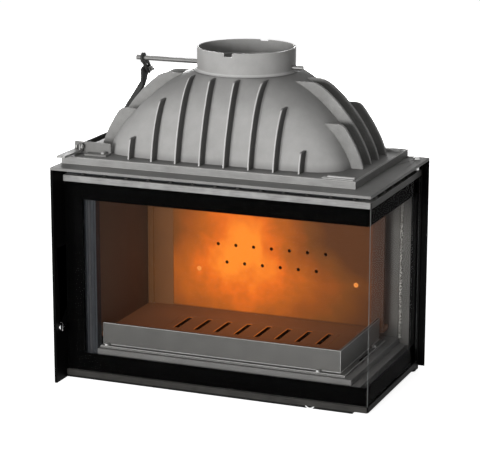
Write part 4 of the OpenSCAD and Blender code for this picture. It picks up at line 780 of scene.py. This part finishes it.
def shaded_side(bm):
    """Gives the leg along the side pane, and every face turned to the right, the second, darker finish as
    painted shade.
    """
    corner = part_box("front_glass")[1][1] + 0.001
    for f in bm.faces:
        if f.normal.x > 0.5 or min(v.co.y for v in f.verts) > corner:
            f.material_index = 1


# The top rail's side is painted dark as painted shade, and its eased edges light as a painted highlight.
eased("door_top_rail", 0.0009, [rail_silver, rail_dark, edge_highlight], shaded_side, highlight_slot=2)
# The low rail's side is painted black as painted shade.
eased("door_low_rail", 0.0007, [rail_dark, black_paint], shaded_side)
dress(black_paint, "door_left_stile", "door_rear_stile")
screw_steel = steel("screw_steel", (0.05, 0.049, 0.047), (0.09, 0.088, 0.085), (0.3, 0.42), 0.0, 0.1,
                    (1, 1, 1))
dress(screw_steel, "rail_screws")
dress(zinc_steel, "hinge_pin_top", "hinge_pin_low")

# Door glass: two panes of clear heat-proof ceramic with ground edges, in rope. The front pane's
# end covers the side pane's, and black enamel is fired on their borders.
clear_glass, t, shader = blank("door_glass")
film = t.span(t.noise(t.place(), 14), 0.35, 0.65, 0.0, 1.0)
t.set(shader, "Base_Color", t.mix(film, (0.90, 0.91, 0.90), (0.96, 0.965, 0.96)))
t.set(shader, "Roughness", t.span(t.noise(t.place(), 60, 4, 0.6), 0.4, 0.7, 0.0, 0.03))
shader.inputs["Transmission Weight"].default_value = 1.0
shader.inputs["Metallic"].default_value = 0.0
shader.inputs["IOR"].default_value = 1.45
shader.inputs["Specular IOR Level"].default_value = 0.2
t.set(shader, "Alpha", t.span(t.add("ShaderNodeNewGeometry").outputs["Backfacing"], 0, 1, 0.035, 0.0))
glass_edge = cast("glass_edge", (0.20, 0.21, 0.205), (0.30, 0.315, 0.31), (0.35, 0.5), 0.1)
enamel = cast("fired_enamel", (0.001, 0.001, 0.001), (0.002, 0.002, 0.002), (0.35, 0.42), 0.02, 0.0)
ENAMEL_GAP, GROUND_EDGE = 0.0001, 0.0003
for name, node, thin in (("front_pane", "front_glass", 1), ("side_pane", "side_glass", 0)):
    lo, hi = [list(p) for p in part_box(node)]
    lo[thin], hi[thin] = lo[thin] + ENAMEL_GAP, hi[thin] - ENAMEL_GAP
    pane_bm = bmesh.new()
    block(pane_bm, lo, hi)
    bmesh.ops.bevel(pane_bm, geom=list(pane_bm.edges), offset=GROUND_EDGE, segments=2, profile=0.5,
                    affect="EDGES", material=-1)
    pane_bm.normal_update()
    for f in pane_bm.faces:
        at_right = f.calc_center_median().x > hi[0] - 0.0005
        f.material_index = int(at_right and abs(f.normal[thin]) < 0.99)
    pane = new_piece(name, pane_bm, body_of[node], [clear_glass, glass_edge], smooth=15)
    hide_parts(node)
dress(enamel, "front_enamel", "side_enamel")
dress(rope_fibre, "glass_gasket")

# Latch: a chrome knob with a coin slot on a washer, low on the left jamb. A quarter turn frees
# the door.
eased("latch_knob", 0.0006, [chrome])
dress(zinc_steel, "latch_washer")
